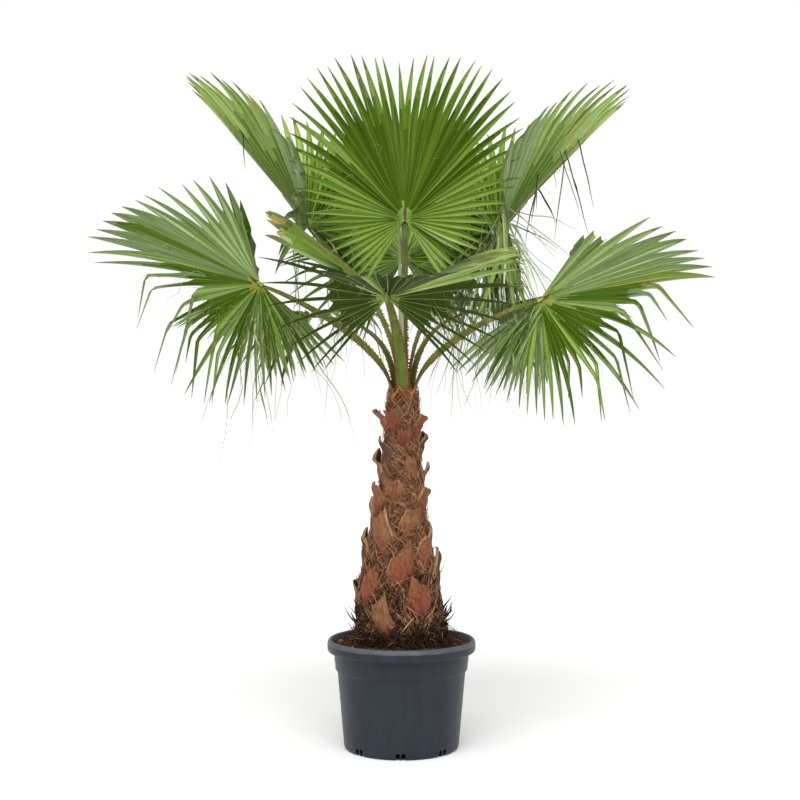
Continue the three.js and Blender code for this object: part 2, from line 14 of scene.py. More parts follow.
import bpy
import numpy as np
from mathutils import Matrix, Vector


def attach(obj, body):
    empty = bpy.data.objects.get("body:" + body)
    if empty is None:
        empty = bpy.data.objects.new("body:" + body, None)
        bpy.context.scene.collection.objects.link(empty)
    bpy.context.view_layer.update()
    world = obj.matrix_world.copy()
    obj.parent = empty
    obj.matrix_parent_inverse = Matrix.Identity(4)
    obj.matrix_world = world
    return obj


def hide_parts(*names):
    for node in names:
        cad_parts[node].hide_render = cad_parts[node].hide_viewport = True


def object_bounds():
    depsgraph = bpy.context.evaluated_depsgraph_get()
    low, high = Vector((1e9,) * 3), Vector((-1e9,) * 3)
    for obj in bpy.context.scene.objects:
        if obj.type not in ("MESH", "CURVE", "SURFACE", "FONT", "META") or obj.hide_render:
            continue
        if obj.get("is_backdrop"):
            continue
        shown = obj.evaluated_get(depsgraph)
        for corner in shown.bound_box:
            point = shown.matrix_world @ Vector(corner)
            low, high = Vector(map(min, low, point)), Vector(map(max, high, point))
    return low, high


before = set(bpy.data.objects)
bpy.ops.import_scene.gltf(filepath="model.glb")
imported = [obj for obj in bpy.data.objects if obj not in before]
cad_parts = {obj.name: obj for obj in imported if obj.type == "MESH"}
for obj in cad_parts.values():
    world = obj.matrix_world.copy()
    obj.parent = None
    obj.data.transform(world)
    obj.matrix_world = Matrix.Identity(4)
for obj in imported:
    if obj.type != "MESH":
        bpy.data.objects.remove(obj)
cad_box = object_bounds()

print("nodes:", len(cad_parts), "box:", [list(corner) for corner in cad_box])

# %% [markdown]
# ## Colours and shader nodes
#
# Colours are picked as sRGB hex values, as a painter reads them off a chart. The renderer works
# in linear light, so one function turns them. A second function adds a shader node with its
# settings and links, which keeps each material short enough to read as a recipe.

# %% Colours and shader nodes
def linear(hex_colour):
    """The linear RGBA value of an sRGB hex colour."""
    channels = [int(hex_colour[i:i + 2], 16) / 255 for i in (1, 3, 5)]
    return [c / 12.92 if c <= 0.04045 else ((c + 0.055) / 1.055) ** 2.4 for c in channels] + [1.0]


def add_node(tree, kind, settings=(), **links):
    """Adds a node, sets its properties and its sockets' values, and links sockets by name."""
    node = tree.nodes.new(kind)
    for name, value in dict(settings).items():
        if name in node.bl_rna.properties:
            setattr(node, name, value)
        else:
            node.inputs[name].default_value = value
    for name, source in links.items():
        tree.links.new(source, node.inputs[name])
    return node


def natural(name, dark, light, grain, roughness, bump=0.0, stretch=(1, 1, 1), contrast=0.14,
            specular=0.2, space="Object"):
    """A finish with two tones: noise of one grain (mm) mixes them and lifts the surface.

    `stretch` makes the grain longer along X, Y or Z, `bump` is the relief's height in mm, and
    `space` is "UV" where the grain has to follow the piece instead of the room.
    """
    material = bpy.data.materials.new(name)
    material.use_nodes = True
    tree = material.node_tree
    shader = tree.nodes["Principled BSDF"]
    shader.inputs["Roughness"].default_value = roughness
    shader.inputs["Specular IOR Level"].default_value = specular
    place = add_node(tree, "ShaderNodeTexCoord").outputs[space]
    mapping = add_node(tree, "ShaderNodeMapping", {"Scale": [1 / s for s in stretch]}, Vector=place)
    noise = add_node(
        tree, "ShaderNodeTexNoise", {"Scale": 1000 / grain, "Detail": 5.0, "Roughness": 0.6},
        Vector=mapping.outputs["Vector"],
    )
    ramp = add_node(tree, "ShaderNodeValToRGB", Fac=noise.outputs["Fac"])
    for stop, position, colour in zip(ramp.color_ramp.elements, (-1, 1), (dark, light)):
        stop.position = 0.5 + position * contrast
        stop.color = linear(colour)
    tree.links.new(ramp.outputs["Color"], shader.inputs["Base Color"])
    if bump:
        relief = add_node(
            tree, "ShaderNodeBump", {"Strength": 1.0, "Distance": bump / 1000},
            Height=noise.outputs["Fac"],
        )
        tree.links.new(relief.outputs["Normal"], shader.inputs["Normal"])
    return material


print("colour check, mid grey:", [round(c, 3) for c in linear("#808080")])

# %% [markdown]
# ## Shapes
#
# The sizes below are in millimetres, as in the CAD source, and a mesh is turned to metres as it
# is made. A palm has thousands of small parts that follow a rule, such as leaflets and fibres.
# Modelling one and copying it would make them all alike, so they are worked out together in
# arrays, each with its own scatter, and become one mesh.

# %% Small sums on arrays
UP = np.array([0.0, 0.0, 1.0])
SEED = 11
random = np.random.default_rng(SEED)


def mix(a, b, t):
    return a + (b - a) * t


def smooth(low, high, x):
    t = np.clip((x - low) / (high - low), 0, 1)
    return t * t * (3 - 2 * t)


def between(low, x, high):
    return (low < x) & (x < high)


def scatter(i, j):
    """The same scattered number between 0 and 1 for the same pair, every time."""
    x = np.sin(np.asarray(i) * 127.1 + j * 311.7) * 43758.5453
    return x - np.floor(x)


def unit(vectors):
    return vectors / np.linalg.norm(vectors, axis=-1, keepdims=True)


def dot(a, b):
    return np.sum(a * b, axis=-1, keepdims=True)


def full_turn(count):
    return np.linspace(0, 2 * math.pi, count, endpoint=False)


def around_axis(radius, turn, height):
    """Points at a radius and an angle (radians) round the Z axis, at a height."""
    return np.stack(np.broadcast_arrays(radius * np.cos(turn), radius * np.sin(turn), height), axis=-1)


print("a quarter turn at radius 2:", np.round(around_axis(2, full_turn(4)[1], 0), 3))


# %% Meshes from arrays
def new_piece(name, shape, materials, dealt=None, crease=40, spread=None):
    """A mesh object from a shape, which is its points in mm and its faces.

    `dealt` gives each face's place in the materials, and `spread` each corner's UV.
    """
    points, faces = shape
    mesh = bpy.data.meshes.new(name)
    mesh.from_pydata((np.reshape(points, (-1, 3)) / 1000).tolist(), [], [list(f) for f in faces])
    for material in materials:
        mesh.materials.append(material)
    if dealt is not None:
        mesh.polygons.foreach_set("material_index", np.asarray(dealt, dtype=np.int32).ravel())
    if spread is not None:
        mesh.uv_layers.new(name="veins").data.foreach_set("uv", np.asarray(spread, dtype=float).ravel())
    piece = bpy.data.objects.new(name, mesh)
    bpy.context.scene.collection.objects.link(piece)
    pick(piece)
    bpy.ops.object.shade_smooth_by_angle(angle=math.radians(crease))
    return piece


def pick(piece):
    """Makes one object the only selected and active one."""
    bpy.ops.object.select_all(action="DESELECT")
    piece.select_set(True)
    bpy.context.view_layer.objects.active = piece


def apply_modifier(piece, kind, **settings):
    """Adds a modifier with its settings and applies it."""
    pick(piece)
    modifier = piece.modifiers.new(kind, kind)
    for name, value in settings.items():
        setattr(modifier, name, value)
    bpy.ops.object.modifier_apply(modifier=modifier.name)


def edit_all(piece, step, **settings):
    """Takes one step in edit mode with the whole piece selected."""
    pick(piece)
    bpy.ops.object.mode_set(mode="EDIT")
    bpy.ops.mesh.select_all(action="SELECT")
    step(**settings)
    bpy.ops.object.mode_set(mode="OBJECT")


def turn_outward(piece):
    """Turns the faces of a closed piece so that they all look outward."""
    edit_all(piece, bpy.ops.mesh.normals_make_consistent, inside=False)


def fit_in(piece, slot, *nodes):
    """Gives a piece its place in the frame: its body and its CAD nodes. `slot` is not used."""
    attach(piece, "root")
    if nodes:
        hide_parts(*nodes)
    print(f"{piece.name}: {len(piece.data.polygons)} faces")


# %% Skins over rings of points
TUBE_SIDES = 3


def skin(rings):
    """A shape over rings: `rings` is (shape, ring, corner, xyz), and each is closed at its ends.

    The faces are (shape, ring, corner) quads followed by the end caps.
    """
    shapes, count, corners, _ = rings.shape
    index = np.arange(shapes * count * corners).reshape(shapes, count, corners)
    after = np.roll(index, -1, axis=2)
    walls = np.stack([index[:, :-1], after[:, :-1], after[:, 1:], index[:, 1:]], axis=-1)
    faces = walls.reshape(-1, 4).tolist() + index[:, 0, ::-1].tolist() + index[:, -1].tolist()
    return rings.reshape(-1, 3), faces


def tubes(lines, radii, flat):
    """Thin closed tubes along many lines: `lines` is (tube, step, xyz), `radii` (tube, step).

    `flat` is how thick they are for their width.
    """
    ahead = unit(np.gradient(lines, axis=1))
    helper = np.where(np.abs(ahead[:, :, 2:3]) > 0.9, np.array([1.0, 0.0, 0.0]), UP)
    across = unit(np.cross(ahead, helper))
    over = np.cross(ahead, across) * flat
    turns = full_turn(TUBE_SIDES)[:, None]
    ring = across[:, :, None] * np.cos(turns) + over[:, :, None] * np.sin(turns)
    return skin(lines[:, :, None] + ring * radii[:, :, None, None])


def slab(outer, inner):
    """A closed curved slab between two grids of points, each (slab, row, column, xyz).

    Seen from outside, columns run left to right as rows run up. Returns the shape, and how many
    faces the front and the edge have.
    """
    slabs, rows, columns, _ = outer.shape
    size = rows * columns
    index = np.arange(size).reshape(rows, columns)
    quads = np.stack([index[:-1, :-1], index[:-1, 1:], index[1:, 1:], index[1:, :-1]], axis=-1)
    front = quads.reshape(-1, 4)
    back = front[:, ::-1] + size
    rim = np.concatenate([index[0], index[1:, -1], index[-1, -2::-1], index[-2:0:-1, 0]])
    onward = np.roll(rim, -1)
    edge = np.stack([onward, rim, rim + size, onward + size], axis=-1)
    faces = np.concatenate([front, back, edge]) + (np.arange(slabs) * 2 * size)[:, None, None]
    points = np.stack([outer.reshape(slabs, size, 3), inner.reshape(slabs, size, 3)], axis=1)
    return (points.reshape(-1, 3), faces.reshape(-1, 4)), (len(front), len(edge))


def slab_tones(front, back, edge, parts):
    """The tone of each face of some slabs, from the tones of their fronts, backs and edges."""
    return np.concatenate([
        np.broadcast_to(tone, (len(front), count))
        for tone, count in ((front, parts[0]), (back, parts[0]), (edge, parts[1]))
    ], axis=1)


print("tools ready")

# %% [markdown]
# ## Camera, light and floor
#
# The palm is seen level with the foot of its crown, from a little under five metres, with a long
# portrait lens. A studio sweep is nearly shadowless: an even white surround, and one very large
# lamp above and to the left, give the leaves form without hard shadows. The floor is a plain
# white sheet, and the light on it is set so that it just reaches white where nothing shades it.

# %% Camera
camera = bpy.data.objects.new("camera", bpy.data.cameras.new("camera"))
camera.data.lens = 63
camera.data.sensor_width = 36
camera.data.clip_end = 200
camera.location = (-0.005, -4.730, 1.170)
camera.rotation_euler = (math.radians(90), 0, 0)
bpy.context.scene.collection.objects.link(camera)
bpy.context.scene.camera = camera
bpy.context.scene.view_settings.view_transform = "Standard"
print("camera at", [round(place, 3) for place in camera.location], "lens", camera.data.lens, "mm")

# %% Light
BACKDROP = 1.0
SURROUND = 0.72
KEY_LIGHT = {"energy": 2.7, "angle": math.radians(60)}
KEY_TILT = 40
KEY_TURN = -7

world = bpy.data.worlds.new("studio")
world.use_nodes = True
bpy.context.scene.world = world
sky = world.node_tree
seen = add_node(sky, "ShaderNodeLightPath").outputs["Is Camera Ray"]
level = add_node(
    sky, "ShaderNodeMapRange", {"To Min": SURROUND, "To Max": BACKDROP}, Value=seen,
).outputs["Result"]
sky.nodes["Background"].inputs["Color"].default_value = (1, 1, 1, 1)
sky.links.new(level, sky.nodes["Background"].inputs["Strength"])

key = bpy.data.objects.new("key", bpy.data.lights.new("key", "SUN"))
for setting, value in KEY_LIGHT.items():
    setattr(key.data, setting, value)
key.rotation_euler = (math.radians(KEY_TILT), 0, math.radians(KEY_TURN))
bpy.context.scene.collection.objects.link(key)
print("surround:", SURROUND, "key light:", KEY_LIGHT)

# %% Floor
FLOOR_SIZE = 160
FLOOR_DROP = 0.0005
bpy.ops.object.select_all(action="DESELECT")
bpy.ops.mesh.primitive_plane_add(size=FLOOR_SIZE, location=(0, 0, -FLOOR_DROP))
floor = bpy.context.object
floor.name = "studio_floor"
paper = natural("studio_paper", "#f3f3f3", "#f5f5f5", 900, 0.95, specular=0.1)
floor.data.materials.append(paper)
floor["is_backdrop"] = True
print("floor:", FLOOR_SIZE, "m wide")

# %% [markdown]
# ## The pot
#
# A nursery pot is injection-moulded polypropylene: a thin tapered wall, a collar that stiffens
# its top, a rolled rim to lift it by, and pairs of drain slots round its foot. A lathe is the
# natural way to make it, and here the lathe is a circle that is extruded and scaled up the
# outside of the wall and down the inside. A Boolean then cuts the slots, as the tool's pins do,
# and a Bevel rounds every edge, because no moulded edge is sharp.

# %% Pot sizes
POT_SIDES = 144
POT_HEIGHT = 366
RIM_RADIUS = 250
RIM_FOOT = POT_HEIGHT - 40
COLLAR_FOOT = 264
WALL = 4
# Radius and height, up the outside and down the inside.
POT_PROFILE = [
    (182, 0), (187, 1), (191.5, 4.5), (194, 12), (196.5, 40),
    (215.6, COLLAR_FOOT - 9), (216.6, COLLAR_FOOT - 5), (220, COLLAR_FOOT - 2), (223, COLLAR_FOOT + 2),
    (224.5, COLLAR_FOOT + 26), (226, COLLAR_FOOT + 27.5), (227, RIM_FOOT - 6), (228.5, RIM_FOOT - 2),
    (242, RIM_FOOT - 2), (246, RIM_FOOT), (249.2, RIM_FOOT + 5), (RIM_RADIUS, RIM_FOOT + 12),
    (RIM_RADIUS, POT_HEIGHT - 15), (248.6, POT_HEIGHT - 8), (245.5, POT_HEIGHT - 2.6),
    (241.5, POT_HEIGHT), (238, POT_HEIGHT - 1), (236, POT_HEIGHT - 4), (228, POT_HEIGHT - 24),
    (223, RIM_FOOT - 4), (219.5, COLLAR_FOOT + 4), (212, COLLAR_FOOT - 3), (190.5, 13), (178.5, WALL),
]
SLOT_PAIRS = 8
SLOT = (34, 13, 44)
SLOT_OFFSET = 9
SLOT_RADIUS = 194
FIRST_SLOTS = -91
HIGHLIT_SCUFFED_ABOVE = POT_HEIGHT - 17
HIGHLIT_SCUFFED_BEYOND = 236
print("pot:", 2 * RIM_RADIUS, "mm across,", POT_HEIGHT, "mm high,", len(POT_PROFILE), "profile points")

# %% Turn the pot
bpy.ops.object.select_all(action="DESELECT")
first_radius, _ = POT_PROFILE[0]
bpy.ops.mesh.primitive_circle_add(vertices=POT_SIDES, radius=first_radius / 1000, fill_type="TRIFAN")
pot = bpy.context.object
pot.name = "nursery_pot"
bpy.ops.object.mode_set(mode="EDIT")
bpy.ops.mesh.select_all(action="SELECT")
bpy.ops.mesh.flip_normals()
bpy.ops.mesh.select_all(action="DESELECT")
bpy.ops.mesh.select_mode(type="EDGE")
bpy.ops.mesh.select_non_manifold()
for (radius, height), (next_radius, next_height) in zip(POT_PROFILE, POT_PROFILE[1:]):
    step_up = (0, 0, (next_height - height) / 1000)
    bpy.ops.mesh.extrude_region_move(TRANSFORM_OT_translate={"value": step_up})
    widen = next_radius / radius
    bpy.ops.transform.resize(value=(widen, widen, 1))
bpy.ops.mesh.edge_face_add()
bpy.ops.object.mode_set(mode="OBJECT")
turn_outward(pot)
print("pot turned:", len(pot.data.polygons), "faces")

# %% Cut the drain slots
cutters = []
for pair in range(SLOT_PAIRS):
    angle = math.radians(FIRST_SLOTS + 360 / SLOT_PAIRS * pair)
    for side in (-SLOT_OFFSET, SLOT_OFFSET):
        x = SLOT_RADIUS * math.cos(angle) - side * math.sin(angle)
        y = SLOT_RADIUS * math.sin(angle) + side * math.cos(angle)
        bpy.ops.mesh.primitive_cube_add(size=1, location=(x / 1000, y / 1000, 0), rotation=(0, 0, angle))
        bpy.context.object.scale = [s / 1000 for s in SLOT]
        cutters.append(bpy.context.object)
bpy.ops.object.select_all(action="DESELECT")
for cutter in cutters:
    cutter.select_set(True)
bpy.context.view_layer.objects.active = cutters[0]
bpy.ops.object.join()
cutter = bpy.context.object
apply_modifier(pot, "BOOLEAN", object=cutter, operation="DIFFERENCE", solver="EXACT")
bpy.data.objects.remove(cutter)
apply_modifier(pot, "BEVEL", width=0.0009, segments=2, limit_method="ANGLE", angle_limit=0.6)
bpy.ops.object.shade_smooth_by_angle(angle=math.radians(35))
print("slots cut:", len(cutters), "and the pot has", len(pot.data.polygons), "faces")

# %% [markdown]
# Polypropylene with a little carbon black is a dark blue-grey. It leaves the tool with a fine eggshell
# texture, so it has a broad soft shine, and a season outdoors leaves faint vertical streaks. The noise is
# stretched along Z for the streaks. The top of the rim is handled and scraped, so its faces get a paler,
# rougher version of the same plastic, which is also a painted highlight along the rim's upper roll.

# %% Pot finish: moulded polypropylene
polypropylene = natural(
    "moulded_polypropylene", "#1f242b", "#272c35", 30, 0.42, 0.05, (1, 1, 8), contrast=0.2,
    specular=0.22,
)
# Painted highlight and scuffing: the paler plastic for the top of the rim.
highlit_scuffed = natural(
    "highlit_scuffed_polypropylene", "#3b3f44", "#53575b", 12, 0.5, 0.08, (3, 3, 1), contrast=0.25,
    specular=0.35,
)
pot.data.materials.clear()
pot.data.materials.append(polypropylene)
pot.data.materials.append(highlit_scuffed)
# Painted highlight: faces on the rim's upper roll get the paler plastic.
for face in pot.data.polygons:
    is_high = face.center.z > HIGHLIT_SCUFFED_ABOVE / 1000
    face.material_index = int(is_high and face.center.xy.length > HIGHLIT_SCUFFED_BEYOND / 1000)
fit_in(pot, "pot_plastic", "pot")

# %% [markdown]
# ## The soil
#
# The pot is filled to a finger's width below its rim with bark compost. Its surface is a low
# uneven dome. It could be one bumpy sheet, but compost is read by its pieces: so a dark bed
# carries well over a thousand loose chips of bark at every angle, and dry fibres lie among them.

# %% Bed of compost
SOIL_LEVEL = 348
SOIL_RADIUS = 225.5
SOIL_FOOT = 300
SOIL_SIDES = 96
# Height, size across, number round the bed and phase of each kind of lump.
LUMPS = ((2.2, 31, 5, 1), (1.6, 13, 11, 2), (1.2, 7, 23, 4), (1.0, 4, 37, 5))


def soil_dome(radius):
    """The height of the bed, which falls off towards the pot's wall."""
    return SOIL_LEVEL - 6 * smooth(150, 226, radius)


soil_rings = np.array([4, 20, 45, 70, 95, 120, 140, 155, 168, 180, 190, 200, 209, 217, SOIL_RADIUS])
turns = full_turn(SOIL_SIDES)
ring_radius = soil_rings[:, None] + 0 * turns
lumps = sum(
    size * np.sin(ring_radius / grain + phase) * np.cos(turns * count + phase * 2 + ring_radius / 60)
    for size, grain, count, phase in LUMPS
)
bed = around_axis(ring_radius, turns, soil_dome(ring_radius) + lumps * smooth(230, 200, ring_radius))
skirt = bed[-1:] * [0.965, 0.965, 0] + [0, 0, SOIL_FOOT]
compost = natural("bark_compost", "#130c08", "#2c1e13", 9, 0.95, bump=4)
soil_bed = new_piece("soil_bed", skin(np.concatenate([bed, skirt])[None, ::-1]), [compost])
fit_in(soil_bed, "potting_soil", "soil")

# %% Loose chips of bark
# A chip is a flat box with skewed corners, scattered and turned at random.
CHIPS = 2600
CHIP_RING = (115, 220)
CHIP_CORNERS = np.array([(x, y, z) for z in (-1, 1) for x, y in ((-1, -1), (1, -1), (1, 1), (-1, 1))])
CHIP_FACES = np.array([(3, 2, 1, 0), (4, 5, 6, 7), (0, 1, 5, 4), (1, 2, 6, 5), (2, 3, 7, 6), (3, 0, 4, 7)])
chip_turn = random.uniform(0, 2 * math.pi, CHIPS)
chip_radius = np.sqrt(random.uniform(*np.square(CHIP_RING), CHIPS))
chip_height = soil_dome(chip_radius) + random.uniform(-3, 5, CHIPS)
chip_sizes = random.uniform(0.6, 1.5, (CHIPS, 1)) * random.uniform([6, 4, 2], [15, 8, 5], (CHIPS, 3))
chip_box = CHIP_CORNERS * random.uniform(0.55, 1.0, (CHIPS, 8, 3)) * chip_sizes[:, None] / 2
chip_length = unit(random.normal(size=(CHIPS, 3)) * [1, 1, 0.5])
chip_width = unit(np.cross(chip_length, random.normal(size=(CHIPS, 3))))
chip_axes = np.stack([chip_length, chip_width, np.cross(chip_length, chip_width)], axis=1)
chip_points = chip_box @ chip_axes + around_axis(chip_radius, chip_turn, chip_height)[:, None]
chip_faces = CHIP_FACES + np.arange(CHIPS)[:, None, None] * 8
bark_finishes = [
    natural("pine_bark_wet", "#150d08", "#2b1c12", 6, 0.8, bump=0.6),
    natural("pine_bark_dry", "#3a281b", "#573e2a", 6, 0.85, bump=0.6),
    natural("pine_sapwood_chip", "#7d6950", "#a8937a", 6, 0.8, bump=0.4),
]
chip_tone = np.repeat(random.choice(len(bark_finishes), CHIPS, p=(0.62, 0.3, 0.08)), len(CHIP_FACES))
loose_chips = new_piece(
    "soil_chips", (chip_points, chip_faces.reshape(-1, 4)), bark_finishes, chip_tone, crease=20)
fit_in(loose_chips, "potting_soil")

# %% [markdown]
# ## The trunk
#
# A young fan palm's trunk is hardly seen. Each dead leaf is cut off and leaves its base, a
# *boot*: a red-brown shield that wraps the stem, runs up to a ragged stub and has thin straw
# edges. The boots climb in a spiral of the golden angle, about 137.5 degrees, and between them
# the leaf sheaths rot down to a felt of crossed fibres.
#
# The core is a displaced skin over the trunk's taper, the boots are curved slabs made by one
# rule, and the felt is thousands of thin tubes laid on the core.

# %% Trunk core
# Height, radius and X of the middle.
TRUNK_CORE = np.array([
    (330, 130, 0), (400, 136, -2), (480, 132, -8), (560, 120, -10), (640, 104, -10), (700, 92, -8),
    (780, 78, -6), (860, 66, -3), (940, 55, 0), (1040, 48, 2), (1120, 46, 4), (1188, 50, 6),
])
CORE_TOP = 1192
CORE_RINGS = 150
CORE_SIDES = 96


def core_radius(height):
    return np.interp(height, TRUNK_CORE[:, 0], TRUNK_CORE[:, 1])


def as_turn(width, height):
    """The angle that a width takes up round the trunk."""
    return width / (core_radius(height) + 10)


def on_trunk(angle, height, out):
    """The point `out` beyond the core, at an angle (radians) and height."""
    place = around_axis(core_radius(height) + out, angle, height)
    place[..., 0] += np.interp(height, TRUNK_CORE[:, 0], TRUNK_CORE[:, 2])
    return place


core_heights = np.linspace(TRUNK_CORE[0, 0], CORE_TOP, CORE_RINGS)[:, None]
core_turns = full_turn(CORE_SIDES)
ripple = (
    2.2 * np.sin(core_heights / 9 + 2 * np.sin(core_turns * 3)) * np.sin(core_turns * 5 + core_heights / 31)
    + 1.5 * np.sin(core_turns * 17 + core_heights / 7) + 1.2 * np.sin(core_turns * 29 - core_heights / 5)
)
core_rings = on_trunk(core_turns, core_heights, ripple - 3)
lid = core_rings[-1:] * [0.3, 0.3, 1] + [4, 0, 6]
felt = natural("leaf_sheath_felt", "#35220f", "#6b4a2b", 5, 0.95, 3, (1, 1, 2), specular=0.1)
trunk_core = new_piece("trunk_core", skin(np.concatenate([core_rings, lid])[None]), [felt], crease=60)
fit_in(trunk_core, "palm_bark", "trunk")

# %% [markdown]
# Each boot is a grid of points bent round the trunk. Across, it is arched, with edges that thin
# out and turn straw-coloured. Up its length it narrows to a stub that leans out. The cut end is
# ragged because the fibres tear, and its two corners run on like a fish's tail.

# %% Boots
BOOTS = 36
RING_BOOTS = 5
BOOT_ROWS = 26
BOOT_COLUMNS = 17
GOLDEN_ANGLE = 137.5
FIRST_BOOT = 250
BOOT_FEET = (352, 1035)
boot = np.arange(BOOTS)[:, None, None]
ring_boot = boot >= BOOTS - RING_BOOTS
boot_foot = mix(*BOOT_FEET, np.minimum(boot / (BOOTS - RING_BOOTS), 1))
boot_angle = np.radians(FIRST_BOOT + GOLDEN_ANGLE * boot)
boot_radius = core_radius(boot_foot + 40)
boot_length = (78 + 0.45 * boot_radius) * mix(0.8, 1.2, scatter(boot, 1)) * mix(1, 0.92, ring_boot)
boot_half = (19 + 0.24 * boot_radius) * mix(0.75, 1.25, scatter(boot, 2))
boot_flare = mix(22, 52, scatter(boot, 3)) + 8 * ring_boot

up_boot = np.linspace(0, 1, BOOT_ROWS)[:, None]
across_boot = np.linspace(-1, 1, BOOT_COLUMNS)
ring_width = np.interp(up_boot, (0, 0.15, 0.4, 0.7, 0.88, 1), (0.1, 0.7, 1, 0.8, 0.5, 0.56))
shield_width = np.interp(up_boot, (0, 0.15, 0.45, 0.72, 1), (0.03, 0.48, 1, 0.8, 0.42))
boot_width = np.where(ring_boot, ring_width, shield_width)
tear = scatter(boot * 40 + np.arange(BOOT_COLUMNS) // 2, 5) - 0.5
slant = mix(-0.2, 0.2, scatter(boot, 6)) * across_boot
fishtail = 0.07 * np.abs(across_boot) ** 1.5 + 0.07 * tear + slant
boot_height = boot_foot + boot_length * (
    up_boot + 0.1 * across_boot ** 2 * (1 - up_boot) ** 2 + fishtail * smooth(0.78, 1, up_boot)
)
lean = 0.2 * boot_flare * smooth(0.3, 0.65, up_boot)
boot_out = np.interp(up_boot, (0, 0.16, 0.36, 0.65, 1), (-12, -5, 1, 4, -9)) + lean
boot_out = boot_out + 0.8 * boot_flare * smooth(0.62, 1.02, up_boot) ** 1.2
arch = np.interp(up_boot, (0, 0.3, 0.65, 1), (8, 15, 15, 10)) * (1 - np.abs(across_boot) ** 1.9)
ridges = 0.8 * np.sin(across_boot * 19 + boot) * smooth(0.2, 0.7, up_boot)
edge_lip = 4 * np.exp(-((np.abs(across_boot) - 0.94) / 0.05) ** 2)
boot_skew = mix(-1, 1, scatter(boot, 4)) * (up_boot - 0.5 + 0.25 * np.sin(up_boot * math.pi))
boot_turn = (
    boot_angle + as_turn(boot_half * boot_width, boot_height) * across_boot
    + as_turn(boot_skew * boot_half, boot_height)
)
boot_outer = on_trunk(boot_turn, boot_height, boot_out + arch + ridges + edge_lip)
boot_inner = on_trunk(boot_turn, boot_height, np.minimum(boot_out - 2, boot_out + arch - 6))
boot_shape, boot_parts = slab(boot_outer, boot_inner)
print("boots:", BOOTS, "from", round(boot_foot.min()), "to", round(boot_height.max()), "mm")

# %% [markdown]
# A boot's skin is hard and smooth. It dries from rose-red low down, through rust, to tan at the
# stub, with thin straw-coloured edges, and old ones weather to grey-brown. These colours have a
# place on the boot, so they are dealt out face by face, in steps too small to see as steps.

# %% Boot finishes: dried leaf base
boot_finishes = [
    natural(f"leaf_base_{tone}", dark, light, grain, roughness, bump, (1, 1, length))
    for tone, dark, light, grain, roughness, bump, length in (
        ("rose", "#5f291c", "#854232", 14, 0.42, 0.5, 4),
        ("red", "#61301e", "#85492c", 12, 0.45, 0.5, 4),
        ("rust", "#68361e", "#8d532f", 11, 0.5, 0.6, 5),
        ("brown", "#603822", "#845636", 10, 0.55, 0.6, 5),
        ("tan", "#68422b", "#8d6141", 9, 0.6, 0.7, 5),
        ("edge", "#846044", "#b08965", 6, 0.7, 0.5, 4),
        ("weathered", "#3f2d22", "#614938", 7, 0.85, 0.8, 4),
    )
]
BROWN, TAN, EDGE, WEATHERED = 3, 4, 5, 6
row = ((np.arange(BOOT_ROWS - 1) + 0.5) / (BOOT_ROWS - 1))[:, None]
column = (np.arange(BOOT_COLUMNS - 1) + 0.5) / (BOOT_COLUMNS - 1) * 2 - 1
face_scatter = scatter(boot * 31 + row * 900 + column * 50, 7) - 0.5
ripeness = (row - mix(-0.25, 0.65, scatter(boot, 8))) * 5.5 + 1.2 * np.abs(column) + 2 * face_scatter
pale_side = np.where(scatter(boot, 23) > 0.5, 1, -1)
is_edge = (np.abs(column) > 0.94) | (column * pale_side > 0.84)
is_stub = (row > 0.95) & (scatter(column * 77 + boot, 3) > 0.45)
is_old = (scatter(boot, 9) < 0.12) & (row + 0.3 * face_scatter > 0.4) & (np.abs(column) < 0.9)
boot_tone = np.select(
    [is_old | is_stub, is_edge], [WEATHERED, EDGE], np.clip(ripeness, 0, TAN).astype(int))
boots = new_piece(
    "trunk_boots", boot_shape, boot_finishes,
    slab_tones(boot_tone.reshape(BOOTS, -1), WEATHERED, EDGE, boot_parts), crease=50,
)
fit_in(boots, "palm_bark")

# %% [markdown]
# Under its stub, each leaf base splits in two. Its legs run down and away to both sides, round
# the trunk, and cross the legs of the neighbours: this gives a fan palm's trunk its lattice.

# %% Legs of the boots
LEG_ROWS = 14
LEG_PAIRS = 3
LOWEST_LEG = 350
leg_boot = np.repeat(np.arange(BOOTS), 2 * LEG_PAIRS)
leg = np.arange(len(leg_boot))[:, None, None]
leg_side = np.where(leg % 2, 1.0, -1.0)
leg_rank = (leg // 2) % LEG_PAIRS
down_leg = np.linspace(0, 1, LEG_ROWS)[:, None]
across_leg = np.linspace(-1, 1, 4)
leg_length = boot_length[leg_boot] * mix(0.5, 1.0, scatter(leg, 13))
leg_slope = mix(0.35, 1.05, scatter(leg, 14))
leg_half = mix(0.9, 3.4, scatter(leg, 16) ** 1.8) * np.interp(down_leg, (0, 0.2, 1), (0.6, 1, 0.4))
leg_start = (0.75 - 0.28 * leg_rank + 0.1 * scatter(leg, 12)) * boot_length[leg_boot]
leg_height = boot_foot[leg_boot] + leg_start - down_leg * leg_length + leg_half * across_leg * 0.6
leg_height = np.maximum(leg_height, LOWEST_LEG)
leg_bow = 5 * np.sin(down_leg * math.pi) * (scatter(leg, 15) - 0.5)
leg_sweep = leg_side * (
    boot_half[leg_boot] * mix(0.5, 1.0, scatter(leg, 21))
    + down_leg ** 0.9 * leg_length * leg_slope + leg_half * across_leg * 0.7 + leg_bow
)
leg_turn = boot_angle[leg_boot] + as_turn(leg_sweep, leg_height)
leg_out = np.interp(down_leg, (0, 0.3, 1), (9, 12, 8)) + mix(-3, 5, scatter(leg, 17))
leg_shape, leg_parts = slab(
    on_trunk(leg_turn, leg_height, leg_out + 2.2 * (1 - across_leg ** 2) + 1.5),
    on_trunk(leg_turn, leg_height, leg_out - 1),
)
leg_tone = np.select([scatter(leg, 18) < 0.4, scatter(leg, 19) < 0.35], [BROWN, EDGE], TAN)[:, 0]
legs = new_piece(
    "trunk_legs", leg_shape, boot_finishes, slab_tones(leg_tone, leg_tone, EDGE, leg_parts), crease=50)
turn_outward(legs)
fit_in(legs, "palm_bark")

